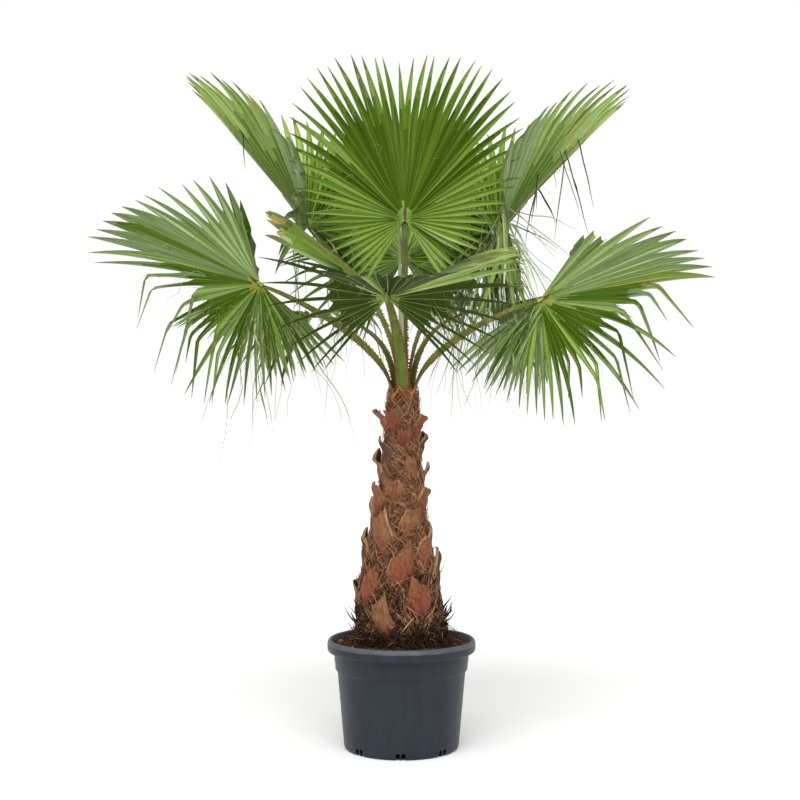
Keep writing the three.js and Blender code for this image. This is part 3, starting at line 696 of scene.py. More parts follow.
# %% Curled lines and strands
def curled(roots, headings, lengths, steps, wave, droop=0.0):
    """Lines that start at roots, follow headings, and wave to the side as they go."""
    each = (len(roots), 1, 1)
    share = np.linspace(0, 1, steps)[:, None]
    side = unit(np.cross(headings, UP + 0.01))[:, None]
    rise = np.cross(side[:, 0], headings)[:, None]
    phase = random.uniform(0, 6.28, each)
    turns_made = random.uniform(0.5, 1.8, each) * 2 * math.pi
    swing = np.sin(turns_made * share + phase) - np.sin(phase)
    lift = np.cos(turns_made * share * 1.3 + phase) - np.cos(phase)
    lengths = lengths[:, None, None]
    lines = roots[:, None] + headings[:, None] * share * lengths
    lines = lines + (side * swing + rise * lift) * wave * lengths
    return lines - UP * droop * lengths * share ** 2


def strands(name, lines, radius, profile, material, slot="palm_bark", flat=1.0):
    """A piece of thin tubes along many lines, whose radii follow one profile."""
    radii = random.uniform(*radius, (len(lines), 1)) * profile
    fit_in(new_piece(name, tubes(lines, radii, flat), [material], crease=80), slot)


print("a strand has", TUBE_SIDES, "sides")

# %% Felt of crossed fibres
FELT_TOP = 1215


def felt_fibres(name, count, low, high, out, radius, material, lengths=(35, 95)):
    """Fibres laid on the trunk in two crossing directions, hugging its curve."""
    each = (count, 1)
    start = random.uniform(0, 2 * math.pi, each)
    foot = random.uniform(low, high, each)
    length = random.uniform(*lengths, each)
    slope = np.radians(random.normal(38, 16, each)) * random.choice([-1, 1], each)
    share = np.linspace(0, 1, 8)
    height = foot + length * np.cos(slope) * share
    bend = 0.25 * np.sin(share * random.uniform(2, 7, each) + random.uniform(0, 6, each))
    sweep = length * np.sin(slope) * share + bend * length * 0.25
    above = random.uniform(*out, each) + 4 * np.sin(share * 3.1 + start) * (share - 0.3)
    lines = on_trunk(start + sweep / core_radius(height), np.minimum(height, FELT_TOP), above)
    strands(name, lines, radius, np.interp(share, (0, 0.1, 0.8, 1), (0.5, 1, 0.8, 0.15)), material)


fibre_brown = natural("sheath_fibre_brown", "#5a3420", "#875a3d", 12, 0.8)
fibre_straw = natural("sheath_fibre_straw", "#8f6547", "#c19a74", 12, 0.75)
fibre_dark = natural("root_fibre_dark", "#1d130b", "#3c2918", 12, 0.85)
felt_fibres("trunk_felt_brown", 3900, 352, 1120, (-2, 9), (0.8, 1.9), fibre_brown)
felt_fibres("trunk_felt_straw", 1900, 392, 1120, (4, 13), (0.6, 1.4), fibre_straw)
felt_fibres("trunk_felt_over", 1100, 352, 1090, (10, 19), (0.5, 1.1), fibre_brown, (25, 70))
felt_fibres("trunk_felt_pale", 420, 392, 1090, (12, 20), (0.5, 1.0), fibre_straw, (30, 80))
felt_fibres("trunk_felt_dark", 1000, 345, 560, (0, 16), (0.7, 1.8), fibre_dark)
felt_fibres("trunk_felt_foot", 900, 338, 400, (4, 24), (0.9, 2.2), fibre_dark, (25, 60))

# %% Spikes and roots between the boots
BRISTLE_STEPS = 7


def bristles(name, count, low, high, lengths, radius, material, outward, droop):
    """Stiff strands that stand out of the trunk, clear of the boots."""
    angle = random.uniform(0, 2 * math.pi, count)
    foot = random.uniform(low, high, count)
    aside = (angle[:, None] - boot_angle.ravel() + math.pi) % (2 * math.pi) - math.pi
    on_width = np.abs(aside) * core_radius(foot)[:, None] < boot_half.ravel()
    on_length = between(-0.15, (foot[:, None] - boot_foot.ravel()) / boot_length.ravel(), 0.8)
    clear = ~(on_width & on_length).any(axis=1)
    angle, foot = angle[clear], foot[clear]
    count = len(foot)
    out = around_axis(1, angle, 0)
    rise = random.uniform(0.3, 1.0, (count, 1))
    heading = unit(out * outward + UP * rise + np.cross(UP, out) * random.uniform(-0.8, 0.8, (count, 1)))
    lengths = random.uniform(*lengths, count)
    lines = curled(on_trunk(angle, foot, 0), heading, lengths, BRISTLE_STEPS, 0.06, droop)
    lines[..., 2] = np.maximum(lines[..., 2], SOIL_LEVEL + 1)
    profile = np.interp(np.arange(BRISTLE_STEPS), (0, 4, 6), (1, 0.8, 0.15))
    strands(name, lines, radius, profile, material, flat=0.5)


bristles("trunk_splinters", 620, 356, 680, (26, 56), (1.8, 5.2), fibre_dark, 0.55, -0.35)
bristles("trunk_splinters_upper", 420, 600, 1080, (14, 36), (1.4, 4.0), fibre_brown, 0.55, -0.3)
bristles("trunk_spurs", 170, 356, 560, (40, 74), (4.5, 9.5), fibre_dark, 0.65, -0.45)
bristles("trunk_roots", 420, 352, 400, (40, 105), (1.2, 3.0), fibre_dark, 0.9, 0.8)
bristles("trunk_straw", 260, 352, 450, (40, 100), (0.7, 1.3), fibre_straw, 0.6, 0.5)

# %% Dry fibres on the compost
LOOSE_FIBRES = 420
LOOSE_RING = (118, 208)
FURTHEST_FIBRE = 220
loose_turn = random.uniform(0, 2 * math.pi, LOOSE_FIBRES)
loose_radius = np.sqrt(random.uniform(*np.square(LOOSE_RING), LOOSE_FIBRES))
loose_heading = unit(random.normal(size=(LOOSE_FIBRES, 3)) * [1, 1, 0.12])
loose_lines = curled(
    around_axis(loose_radius, loose_turn, SOIL_LEVEL + 2), loose_heading,
    random.uniform(20, 60, LOOSE_FIBRES), BRISTLE_STEPS, 0.1,
)
loose_reach = np.hypot(loose_lines[..., 0], loose_lines[..., 1])[..., None]
loose_lines[..., :2] *= np.minimum(1, FURTHEST_FIBRE / loose_reach)
strands(
    "soil_strands", loose_lines, (0.6, 1.5), np.linspace(1, 0.3, BRISTLE_STEPS), fibre_brown,
    "potting_soil",
)

# %% [markdown]
# At the top the youngest sheaths are still whole: flat bands of tan burlap that cross over each
# other and bind the stalks together. They are laid as thin curved ribbons in two directions.

# %% Sheath of crossed bands
BANDS = 150
EACH_BAND = (BANDS, 1, 1)
SHEATH_RADIUS = 52
band_low = random.uniform(1100, 1196, EACH_BAND)
band_start = random.uniform(0, 2 * math.pi, EACH_BAND)
band_slope = random.choice([-1, 1], EACH_BAND) * random.uniform(0.7, 1.3, EACH_BAND)
band_length = random.uniform(40, 75, EACH_BAND)
along_band = np.linspace(0, 1, 9)[:, None]
across_band = np.linspace(-1, 1, 3)
band_half = random.uniform(1, 5, EACH_BAND) * np.interp(along_band, (0, 0.15, 0.8, 1), (0.5, 1, 0.8, 0.2))
band_height = band_low + band_length * along_band * 0.72 + band_half * across_band * 0.7
band_sweep = band_slope * along_band * band_length - band_half * across_band * np.sign(band_slope)
band_angle = band_start + band_sweep * 0.7 / SHEATH_RADIUS
band_out = random.uniform(0, 4.5, EACH_BAND) - 12 * smooth(1188, 1250, band_height)
band_shape, band_parts = slab(
    on_trunk(band_angle, band_height, band_out + 1.2 - 0.8 * across_band ** 2),
    on_trunk(band_angle, band_height, band_out),
)
burlaps = [
    natural("sheath_burlap_rust", "#6b3a20", "#8f5a36", 5, 0.75, 0.4, (1, 1, 2)),
    natural("sheath_burlap_tan", "#7f5434", "#b08358", 5, 0.75, 0.4, (1, 1, 2)),
]
band_tone = random.random((BANDS, 1)) < 0.4
sheath = new_piece(
    "trunk_sheath", band_shape, burlaps, slab_tones(band_tone, band_tone, band_tone, band_parts), crease=60)
turn_outward(sheath)
fit_in(sheath, "palm_bark")

# %% [markdown]
# ## The fronds' rule
#
# Nine fronds make the crown. Each starts at a *hub*, where the stalk meets the fan, and opens
# round its *costa*, the stiff middle line. The table gives each hub, the way the costa points,
# and how each half of the fan is folded, cut and drooped. The CAD solids grow by this same rule
# with 22 leaflets to a fan. A real fan has about three times as many, and so do these.

# %% What fronds have in common
HALF_SPREAD = 148
HALF = dict(fold=10, out=-40, turn=75, joined=0.58, web=0.1, tip=0.15, cut=1, kink_from=0, kink_to=0)
FROND = dict(
    roll=0, mid=10, short=0.3, droop=0.05, foot=38, up=0.5, base=(28, 13), width=18, twist=0,
    leaflets=54, kept=(-HALF_SPREAD, HALF_SPREAD), tints=(), hang=(0, 0, 0), broken=(0, 0, 1),
    sheets=(), fullness=0.7,
)
FRONDS = []


def add_frond(name, hub, aim, radius, foot_azimuth, left, right, **others):
    """Adds a frond. `aim` is its costa's azimuth and rise in degrees, and sizes are in mm."""
    frond = {**FROND, **others, "name": name, "index": len(FRONDS), "hub": np.array(hub)}
    frond.update(aim=aim, radius=radius, foot_azimuth=foot_azimuth)
    frond.update(left={**HALF, **left}, right={**HALF, **right})
    joins = np.linspace(-HALF_SPREAD, HALF_SPREAD, frond["leaflets"] + 1)
    frond.update(joins=joins, ribs=(joins[1:] + joins[:-1]) / 2)
    FRONDS.append(frond)


print("a fan opens to", 2 * HALF_SPREAD, "degrees, with", FROND["leaflets"], "leaflets")

# %% Table of fronds
# A tint is the leaflets' angles from the costa, the shares of their length, a tone, and its odds.
top_half = dict(fold=38, out=38, web=0, tip=0.1)
# Painted light and shade: the top fan is lighter on its sides and lower leaflets, which face up to the
# light, and deeper in its upper middle.
add_frond(
    "top", (12, 90, 1793), (90, 78), 595, 80, top_half, top_half,
    short=0.42, mid=38, droop=0, foot=16, up=0.4, base=(22, 14), width=22, leaflets=56,
    tints=(
        (-150, 150, 0.03, 1, "light", 0.95), (-150, 150, 0.1, 0.6, "pale", 0.06),
        (-74, 74, -0.4, 0.84, "fresh", 0.8), (-74, 74, -0.4, 0.6, "green", 0.4),
        (-54, 54, -0.4, 0.64, "green", 1), (-44, 48, 0.08, 0.5, "deep", 0.3),
    ),
)
upper_stalk = dict(short=0.35, mid=20, foot=16, base=(17, 12), width=24)
# Painted sheen: the pale strip on the outer half of this fan stands for sheen where that half faces up to
# the light.
add_frond(
    "upper_left", (-324, 170, 1779), (165, 51), 670, 160,
    dict(fold=32, out=-20, web=0.15, tip=0.4), dict(fold=34, out=-10, web=0.1, tip=0.3, cut=0.85),
    **upper_stalk, roll=-5, twist=-50, kept=(-HALF_SPREAD, 112),
    tints=(
        (-60, 58, 0, 1, "light", 0.8), (-60, 58, 0.34, 1, "bright", 0.4),
        (-40, 40, 0.2, 1, "yellow", 0.25), (58, 112, 0, 1, "pale", 0.9),
        (-60, 58, -0.4, 0.5, "fresh", 0.8), (-60, 58, -0.4, 0.34, "green", 0.8),
    ),
)
# Painted sheen: the pale strip on the lower half of this fan stands for sheen where that half faces up to
# the light.
add_frond(
    "upper_right", (340, 150, 1759), (15, 47), 660, 0,
    dict(fold=36, out=-10, web=0.1, tip=0.3, cut=0.85), dict(fold=36, out=-20, web=0.15, tip=0.4),
    **upper_stalk, roll=5, twist=50, leaflets=60, hang=(-150, -84, 3.2),
    tints=(
        (-56, 60, 0, 1, "light", 0.8), (-56, 60, 0.34, 1, "bright", 0.4),
        (-40, 40, 0.2, 1, "yellow", 0.25), (-100, -56, 0, 1, "pale", 1),
        (-56, 70, -0.4, 0.5, "fresh", 0.8), (-56, 70, -0.4, 0.34, "green", 0.8),
        (-150, -78, 0.12, 1, "pale", 0.4), (-150, -78, 0.12, 1, "light", 0.3),
    ),
)
side_stalk = dict(mid=0, up=0.3, base=(34, 14), leaflets=52, fullness=0.6)
hanging_half = dict(fold=-48, out=-55, turn=55, web=0.2, tip=0.5, cut=0.86, kink_from=8, kink_to=80)
add_frond(
    # Painted sheen and shade: the sage tone over the half that faces up stands for sheen, and the deep tone
    # on the inner part of the other half for shade.
    "left", (-468, -100, 1554), (180, 19), 590, 192,
    dict(**hanging_half, joined=0.4), dict(fold=10, out=-75, turn=55, web=0, tip=0.05),
    **side_stalk, roll=-35, twist=-50, sheets=((-24, 5, 0.74),),
    tints=(
        (-150, -12, 0, 1, "sage", 0.85), (-150, -12, 0, 0.5, "olive", 0.35),
        (-18, 12, 0.1, 1, "olive", 0.8), (-18, 10, 0.1, 1, "yellow", 0.5),
        (12, 90, 0.5, 1, "sage", 0.6), (10, 95, 0, 0.4, "deep", 0.7),
        (95, 150, 0, 1, "light", 0.3), (95, 150, 0.1, 1, "sage", 0.5),
    ),
)
# Painted sheen and shade, as on the left fan: sage and pale over the half that faces up, deep on the inner
# part of the other half.
add_frond(
    "right", (458, -100, 1501), (0, 12), 595, -14,
    dict(fold=8, out=-75, turn=46, web=0.02, tip=0.05), dict(**hanging_half, joined=0.42),
    **side_stalk, roll=35, twist=50, sheets=((-5, 24, 0.74),), broken=(40, 72, 0.16),
    tints=(
        (12, 150, 0, 1, "sage", 0.8), (12, 150, 0, 1, "pale", 0.3),
        (-16, 16, 0.1, 1, "olive", 0.8), (-12, 12, 0.15, 1, "yellow", 0.35),
        (-90, -12, 0.5, 1, "sage", 0.55), (-92, -8, 0, 0.4, "deep", 0.7),
        (-150, -92, 0, 1, "light", 0.35), (-150, -92, 0.1, 1, "sage", 0.45),
    ),
)
front_half = dict(out=-42, joined=0.42, web=0.03, tip=0.2)
# Painted light and shade: the shade tone over most of the front fan stands for its shaded underside, and
# the olive, yellow and light bands for its two lit folded halves.
add_frond(
    "front", (-44, -230, 1498), (-92, 5), 530, -92,
    dict(**front_half, fold=18), dict(**front_half, fold=34),
    mid=0, droop=0.02, base=(44, 15), width=26, leaflets=62, kept=(-124, 124),
    sheets=((-84, -36, 0.84), (30, 86, 0.66)), fullness=1.3,
    tints=(
        (-150, 150, 0, 0.9, "shade", 0.92), (-85, -34, 0.05, 1, "olive", 0.9),
        (-85, -34, 0.16, 1, "yellow", 0.75), (-85, -34, 0.35, 1, "light", 0.6),
        (-80, -44, 0.84, 1, "dry", 0.5), (30, 88, 0.05, 1, "olive", 0.8),
        (34, 88, 0.14, 1, "yellow", 0.65), (40, 86, 0.2, 1, "light", 0.5),
    ),
)
back_half = dict(joined=0.5, web=0.3, tip=0.6)
back_tints = ((-150, 150, 0, 1, "sage", 0.3), (-150, 150, 0, 1, "light", 0.45))
add_frond(
    "back_left", (-330, 400, 1480), (130, 2), 560, 136, back_half, back_half,
    kept=(-80, 118), tints=back_tints,
)
add_frond(
    "back_right", (330, 400, 1505), (50, 4), 560, 40, back_half, back_half,
    kept=(-118, 80), tints=back_tints,
)
flat_half = dict(fold=0, joined=0.5, web=0.2, tip=0.5)
add_frond(
    "back", (10, 430, 1690), (90, 32), 560, 89, flat_half, flat_half,
    tints=(
        (-150, 150, 0, 1, "light", 0.6), (-150, 150, 0, 1, "sage", 0.3),
        (-70, 70, 0.5, 1, "pale", 0.5),
    ),
)
print("fronds:", [frond["name"] for frond in FRONDS])

# %% Axes of a fan
def fan_axes(frond):
    """The costa's direction, the fan's own left, and the normal of its upper face."""
    a, e, r = np.radians([*frond["aim"], frond["roll"]])
    costa = np.array([math.cos(e) * math.cos(a), math.cos(e) * math.sin(a), math.sin(e)])
    level = np.array([-math.sin(a), math.cos(a), 0])
    upright = np.cross(costa, level)
    left = level * math.cos(r) + upright * math.sin(r)
    face = upright * math.cos(r) - level * math.sin(r)
    return costa, left, face


def half_value(frond, angles, key):
    """A value of the fan's left half where the angle is positive, and of its right elsewhere."""
    return np.where(angles < 0, frond["right"][key], frond["left"][key])


def leaflet_aim(frond, angles):
    """Which way each leaflet leaves the hub, and the direction across it."""
    costa, left, face = fan_axes(frond)
    sign = np.where(angles < 0, -1.0, 1.0)[:, None]
    size = np.abs(angles)
    inner = mix(frond["mid"], half_value(frond, angles, "fold"), smooth(5, 60, size))
    turn = half_value(frond, angles, "turn")
    outer = half_value(frond, angles, "out")
    raised = np.radians(mix(inner, outer, smooth(turn, turn + 50, size)))[:, None]
    side = sign * left * np.cos(raised) + face * np.sin(raised)
    turned = np.radians(size)[:, None]
    ahead = costa * np.cos(turned) + side * np.sin(turned)
    aside = sign * (side * np.cos(turned) - costa * np.sin(turned))
    return ahead, aside


print("costas point to:", {frond["name"]: np.round(fan_axes(frond)[0], 2).tolist() for frond in FRONDS})

# %% Leaflet lines
LINE_STEPS = 40


def leaflet_length(frond, angles):
    size = np.abs(angles)
    cut = mix(1, half_value(frond, angles, "cut"), smooth(0, 30, size))
    return frond["radius"] * cut * (1 - frond["short"] * smooth(30, 140, size))


def joined_share(frond, angles):
    return mix(0.58, half_value(frond, angles, "joined"), smooth(0, 30, np.abs(angles)))


def is_kinked(frond, angles):
    low, high = [half_value(frond, angles, key) for key in ("kink_from", "kink_to")]
    return between(low, np.abs(angles), high)


def is_hanging(frond, angles):
    """Whether a leaflet is one of the torn ones that hang as a ribbon."""
    low, high, _ = frond["hang"]
    return between(low, angles, high)


def leaflet_lines(frond, angles, joined, loose=1.0, kink_at=0.1, kink_size=2.4):
    """The lines that ribs follow out from the hub, bent by their weight: (leaflet, step, xyz)."""
    ahead, _ = leaflet_aim(frond, angles)
    reach = leaflet_length(frond, angles)[:, None]
    beside = smooth(5, 60, np.abs(angles))
    web = mix(frond["droop"], half_value(frond, angles, "web"), beside)[:, None]
    tip = (mix(0.15, half_value(frond, angles, "tip"), beside) * loose)[:, None]
    share = (np.arange(LINE_STEPS)[None] + 0.5) / LINE_STEPS
    free = np.maximum(share - joined[:, None], 0) / (1 - joined[:, None])
    kink = kink_size * smooth(0, 0.07, free - kink_at) * is_kinked(frond, angles)[:, None]
    ribbon = frond["hang"][2] * smooth(0, 0.25, free) * is_hanging(frond, angles)[:, None]
    droop = web * (share * reach / frond["radius"]) ** 1.5 + tip * free + kink + ribbon
    heading = unit(ahead[:, None] - UP * droop[..., None])
    steps = np.concatenate([np.zeros((len(angles), 1, 3)), heading * reach[..., None] / LINE_STEPS], axis=1)
    return frond["hub"] + np.cumsum(steps, axis=1)


def on_lines(lines, shares):
    """Places and forward directions on lines, at shares of their length: (line, place, xyz)."""
    spot = np.clip(shares, 0, 1) * LINE_STEPS
    step = np.minimum(spot.astype(int), LINE_STEPS - 1)
    rows = np.arange(len(lines))[:, None]
    start, end = lines[rows, step], lines[rows, step + 1]
    return mix(start, end, (spot - step)[..., None]), unit(end - start)


longest = [round(leaflet_length(frond, frond["ribs"]).max()) for frond in FRONDS]
print("longest leaflet of each frond, mm:", longest)

# %% [markdown]
# ## The fans
#
# A fan palm's leaf is one pleated sheet near its hub, like a paper fan: ribs lie low and joins
# stand high. Past the web each leaflet is free, a keeled blade that narrows to a fine, weak tip.
#
# A plane could be pleated by hand, but every pleat here bends, folds and droops with its
# frond. So the sheet is computed column by column, its joins are welded up to where each pair
# of leaflets splits, and a Solidify modifier turns it into a real blade with two faces. The
# same modifier gives the underside its own materials.

# %% Leaf finishes: living palm leaf
# Chlorophyll is dark and yellowish; the wax that a leaf wears is pale, and greys it where it is thick. The
# sage and pale tones, which get the wax's shine, also stand for painted sheen where a leaf faces the light,
# and the shade tone is painted shade. Old tissue yellows, and the tips dry first. Each tone has an upper
# and an under side.
LEAF_TONES = {
    "green": (("#4d6a0e", "#6b882b"), ("#5a7327", "#778e3c")),
    "deep": (("#385208", "#4f6b17"), ("#425914", "#5b7424")),
    "shade": (("#2c3c0c", "#3f5014"), ("#2b3a0e", "#3e4e17")),
    "olive": (("#586822", "#7a8740"), ("#61712c", "#7f8c49")),
    "light": (("#76943a", "#9cb85f"), ("#7e9747", "#9eb565")),
    "sage": (("#66783f", "#83945a"), ("#6e7f4b", "#8a9a66")),
    "yellow": (("#7d8630", "#9ea54e"), ("#828b3e", "#a1a858")),
    "pale": (("#86a05f", "#a6bc80"), ("#8aa069", "#a9bc89")),
    "bright": (("#90aa48", "#b5ca70"), ("#92a955", "#b5c67b")),
    "moss": (("#5c7040", "#768a5b"), ("#64764a", "#7c8d64")),
    "fresh": (("#5b7c20", "#7a9b40"), ("#66843a", "#82a053")),
    "rib": (("#8b9d4c", "#a9b76c"), ("#8f9f5e", "#aab67b")),
    "tip": (("#63673f", "#7f8158"), ("#666a46", "#7f815c")),
    "dry": (("#96823c", "#bea75e"), ("#968342", "#bba462")),
}
TONE = {tone: place for place, tone in enumerate(LEAF_TONES)}
# Wax and painted sheen: these tones shine more than the rest.
WAX_AND_SHEEN = ("sage", "pale")
VEIN = 400
leaf_finishes = [
    natural(
        f"palm_leaf_{side_name}_{tone}", *sides[side], VEIN, 0.36 if tone in WAX_AND_SHEEN else 0.46, 0.15,
        (0.2, 1, 1), contrast=0.1, specular=0.3 if tone in WAX_AND_SHEEN else 0.08, space="UV",
    )
    for side, side_name in enumerate(("upper", "under"))
    for tone, sides in LEAF_TONES.items()
]
print("leaf finishes:", len(leaf_finishes))

# %% Pleated web
COLUMNS = np.array([0, 0.25, 0.455, 0.545, 0.75, 1])
RIB_STRIP = 2
FOLD = np.abs(2 * COLUMNS - 1) * 2 - 1
WEB_START = 0.012
WEB_ROWS = 12
PLEAT = 0.66


def chance(frond, salt):
    """One scattered number for each leaflet of a frond, shaped to fit a (leaflet, column, row) grid."""
    return scatter(np.arange(frond["leaflets"]), frond["index"] + salt)[:, None, None]


def half_tan(frond):
    """Half a leaflet's width for each mm of its length."""
    return math.tan(math.radians(HALF_SPREAD / frond["leaflets"]))


def across_line(forward, aside):
    """Unit directions across a line and above it."""
    aside = unit(aside - forward * dot(forward, aside))
    return aside, np.cross(forward, aside)


def web_grid(frond, split):
    """The pleated web: every column of every leaflet runs out along its own line."""
    joins = frond["joins"]
    angles = (joins[:-1, None] + (joins[1] - joins[0]) * COLUMNS).ravel()
    lines = leaflet_lines(frond, angles, split.ravel())
    share = WEB_START + (split.reshape(-1, 1) - WEB_START) * np.linspace(0, 1, WEB_ROWS)
    place, forward = on_lines(lines, share)
    _, over = across_line(forward, leaflet_aim(frond, angles)[1][:, None])
    half_width = share * leaflet_length(frond, angles)[:, None] * half_tan(frond)
    lift = np.tile(FOLD, frond["leaflets"])[:, None] * PLEAT * half_width
    shape = (frond["leaflets"], len(COLUMNS), WEB_ROWS)
    return (place + over * lift[..., None]).reshape(*shape, 3), share.reshape(shape)


print("web:", len(COLUMNS), "columns a leaflet,", WEB_ROWS, "rows")

# %% Free blades
FREE_ROWS = 13


def free_grid(frond, split):
    """The free blades: each is set out round its own rib, with its own droop, twist and sway."""
    ribs = frond["ribs"]
    kinked = is_kinked(frond, ribs) & (chance(frond, 69)[:, 0, 0] < 0.8)
    joined = split.mean(axis=1)
    loose = mix(0.6, 1.4, scatter(np.arange(frond["leaflets"]) // 3, frond["index"]))
    loose = loose * mix(0.7, 1.3, chance(frond, 3)[:, 0, 0])
    lines = leaflet_lines(
        frond, ribs, joined, loose, mix(0.02, 0.5, chance(frond, 61)[:, 0] ** 1.3),
        mix(1.2, 7, chance(frond, 63)[:, 0] ** 2) * kinked[:, None],
    )
    low, high, broken_at = frond["broken"]
    kinked, hanging, broken, joined, length = [
        values[:, None, None] for values in (
            kinked, is_hanging(frond, ribs), between(low, ribs, high), joined, leaflet_length(frond, ribs))
    ]
    is_short = (kinked | hanging) & (chance(frond, 65) < 0.25)
    torn = 0.12 * scatter(np.arange(len(COLUMNS)), frond["index"])[:, None] + 0.1 * chance(frond, 71)
    end = np.where(is_short, 0.62, mix(0.93, 1.0, chance(frond, 67)))
    end = np.where(broken, broken_at + torn, end)
    way = np.linspace(0, 1, FREE_ROWS + 1)[1:] * np.where(broken, end, 1)
    share = mix(split[..., None], np.where(broken, 1, mix(joined, 1, end)), way)
    place, forward = [
        values.reshape(*share.shape, 3)
        for values in on_lines(lines, share.reshape(frond["leaflets"], -1))
    ]
    aside, over = across_line(forward, leaflet_aim(frond, ribs)[1][:, None, None])
    most_twist = np.where(hanging, 1.5, np.where(kinked, 0.7, 0.25))
    turned = np.where(hanging, np.minimum(1, 4 * way), way)
    twist = ((chance(frond, 7) - 0.5) * 2 * most_twist * turned)[..., None]
    aside, over = aside * np.cos(twist) + over * np.sin(twist), over * np.cos(twist) - aside * np.sin(twist)
    narrow = mix(1, np.where(kinked, 0.7, 1.0), smooth(0, 0.22, way))
    taper = ((1 - way) * (1 + frond["fullness"] * way) + 0.012) * narrow
    widest = np.where(hanging, 0.6, np.maximum(joined, 0.36))
    half_width = (widest * length * half_tan(frond) * taper)[..., None]
    sway = (chance(frond, 9) - 0.5) * np.where(hanging, 0.7, 0.12) * length * (1 - joined)
    across = (2 * COLUMNS - 1)[:, None, None]
    grid = place + aside * (across * half_width + (sway * way ** 2)[..., None])
    return grid + over * FOLD[:, None, None] * PLEAT * half_width, share


print("free blades:", len(COLUMNS), "columns a leaflet,", FREE_ROWS, "rows")

# %% One fan's grid of points
HANGING_SPLIT = 0.22


def fan_grid(frond):
    """Points (leaflet, column, row, xyz) of a fan, and the share of the leaflet's length at each."""
    joins = frond["joins"]
    split = np.where(is_hanging(frond, joins), HANGING_SPLIT, joined_share(frond, joins))
    for low, high, share in frond["sheets"]:
        split = np.where(between(low, joins, high), share, split)
    split = split * mix(0.88, 1.1, scatter(np.arange(len(split)), frond["index"] + 20))
    split = mix(split[:-1, None], split[1:, None], COLUMNS)
    web, web_share = web_grid(frond, split)
    free, free_share = free_grid(frond, split)
    return np.concatenate([web, free], axis=2), np.concatenate([web_share, free_share], axis=2)


_, top_shares = fan_grid(FRONDS[0])
print("the top fan's leaflets, columns and rows:", top_shares.shape)

# %% Dealing the tones
# Each leaflet is painted deeper at its joins, as painted shade in its folds, and paler beside its rib, as
# painted light, so a tone has a paler neighbour for the painted light and a deeper one for the painted
# shade.
PAINTED_LIGHT_STEP = dict(fresh="light", olive="light", light="bright", sage="pale", yellow="bright")
PAINTED_SHADE_STEP = dict(
    green="deep", fresh="green", olive="moss", light="fresh", sage="moss", pale="sage",
    yellow="olive", bright="light",
)


def deal_tones(frond, shares):
    """The tone of each face (leaflet, strip, row): the plant's own scatter, then set places."""
    share = (shares[:, :-1, :-1] + shares[:, 1:, 1:]) / 2
    strip = np.arange(len(COLUMNS) - 1)[:, None]
    rib_angle = frond["ribs"][:, None, None]
    tone = np.where(chance(frond, 31) < 0.45, TONE["olive"], TONE["green"]) + 0 * share.astype(int)
    tone = np.where(chance(frond, 33) > 0.8, TONE["light"], tone)
    tone = np.where(chance(frond, 39) > 0.8, TONE["deep"], tone)
    for salt, (low, high, start, end, name, odds) in enumerate(frond["tints"]):
        blurred = share - 0.2 * (chance(frond, 81 + salt) - 0.5) - 0.08 * (strip % 2) - 0.03 * strip
        inside = between(low, rib_angle, high) & (blurred >= start) & ((blurred <= end) | (end == 1))
        tone = np.where(inside & (chance(frond, 41 + salt) < odds), TONE[name], tone)
    pale_hub = (share < mix(0.04, 0.1, chance(frond, 38))) & (tone != TONE["shade"])
    hub_tone = TONE["yellow" if frond["name"] in ("left", "right") else "light"]
    is_rib = (strip == RIB_STRIP) & (share < 0.88)
    rib_tone = np.select(
        [tone == TONE["shade"], tone == TONE["deep"]], [TONE["olive"], TONE["light"]], TONE["rib"])
    # Painted light on the strips beside the rib, and painted shade on the strips at the joins.
    from_rib = np.abs(strip - RIB_STRIP)
    painted_rib_light = (from_rib == 1) & (chance(frond, 51) < 0.6)
    painted_fold_shade = (from_rib == 2) & (chance(frond, 53) < 0.9)
    paler, deeper = [
        np.array([TONE[neighbours.get(name, name)] for name in LEAF_TONES])[tone]
        for neighbours in (PAINTED_LIGHT_STEP, PAINTED_SHADE_STEP)
    ]
    tone = np.select(
        [pale_hub, is_rib, painted_rib_light, painted_fold_shade], [hub_tone, rib_tone, paler, deeper], tone)
    tone = np.where(share > mix(0.88, 0.98, chance(frond, 37)), TONE["tip"], tone)
    dry_from = 1 - 0.14 * np.maximum(chance(frond, 35) - 0.88, 0) / 0.12
    return np.where(share > dry_from, TONE["dry"], tone)


top_tones = np.bincount(deal_tones(FRONDS[0], top_shares).ravel(), minlength=len(LEAF_TONES))
print("faces of each tone on the top fan:", dict(zip(LEAF_TONES, top_tones.tolist())))

# %% Make the fans
BLADE_THICKNESS = 1.3
WELD = 0.01


def corner_grid(values):
    """The values at each face's four corners, from values at the grid's points."""
    here, after = values[:, :-1], values[:, 1:]
    return np.stack([here[:, :, :-1], here[:, :, 1:], after[:, :, 1:], after[:, :, :-1]], axis=3)


def make_fan(frond):
    grid, shares = fan_grid(frond)
    faces = corner_grid(np.arange(shares.size).reshape(shares.shape))
    leaflet = np.arange(frond["leaflets"])[:, None, None] + COLUMNS[:, None] + frond["index"] * 100
    veins = corner_grid(np.stack([leaflet + 0 * shares, shares], axis=-1))
    low, high = frond["kept"]
    kept = between(low, frond["ribs"], high)
    fan = new_piece(
        f"leaflets_{frond['name']}", (grid, faces[kept].reshape(-1, 4)), leaf_finishes,
        deal_tones(frond, shares)[kept], spread=veins[kept],
    )
    edit_all(fan, bpy.ops.mesh.remove_doubles, threshold=WELD / 1000)
    edit_all(fan, bpy.ops.mesh.delete_loose)
    apply_modifier(
        fan, "SOLIDIFY", thickness=BLADE_THICKNESS / 1000, offset=0.0, material_offset=len(LEAF_TONES))
    bpy.ops.object.shade_smooth_by_angle(angle=math.radians(24))
    fit_in(fan, "leaf_green", f"fan_{frond['name']}")
    return grid


grids = [make_fan(frond) for frond in FRONDS]

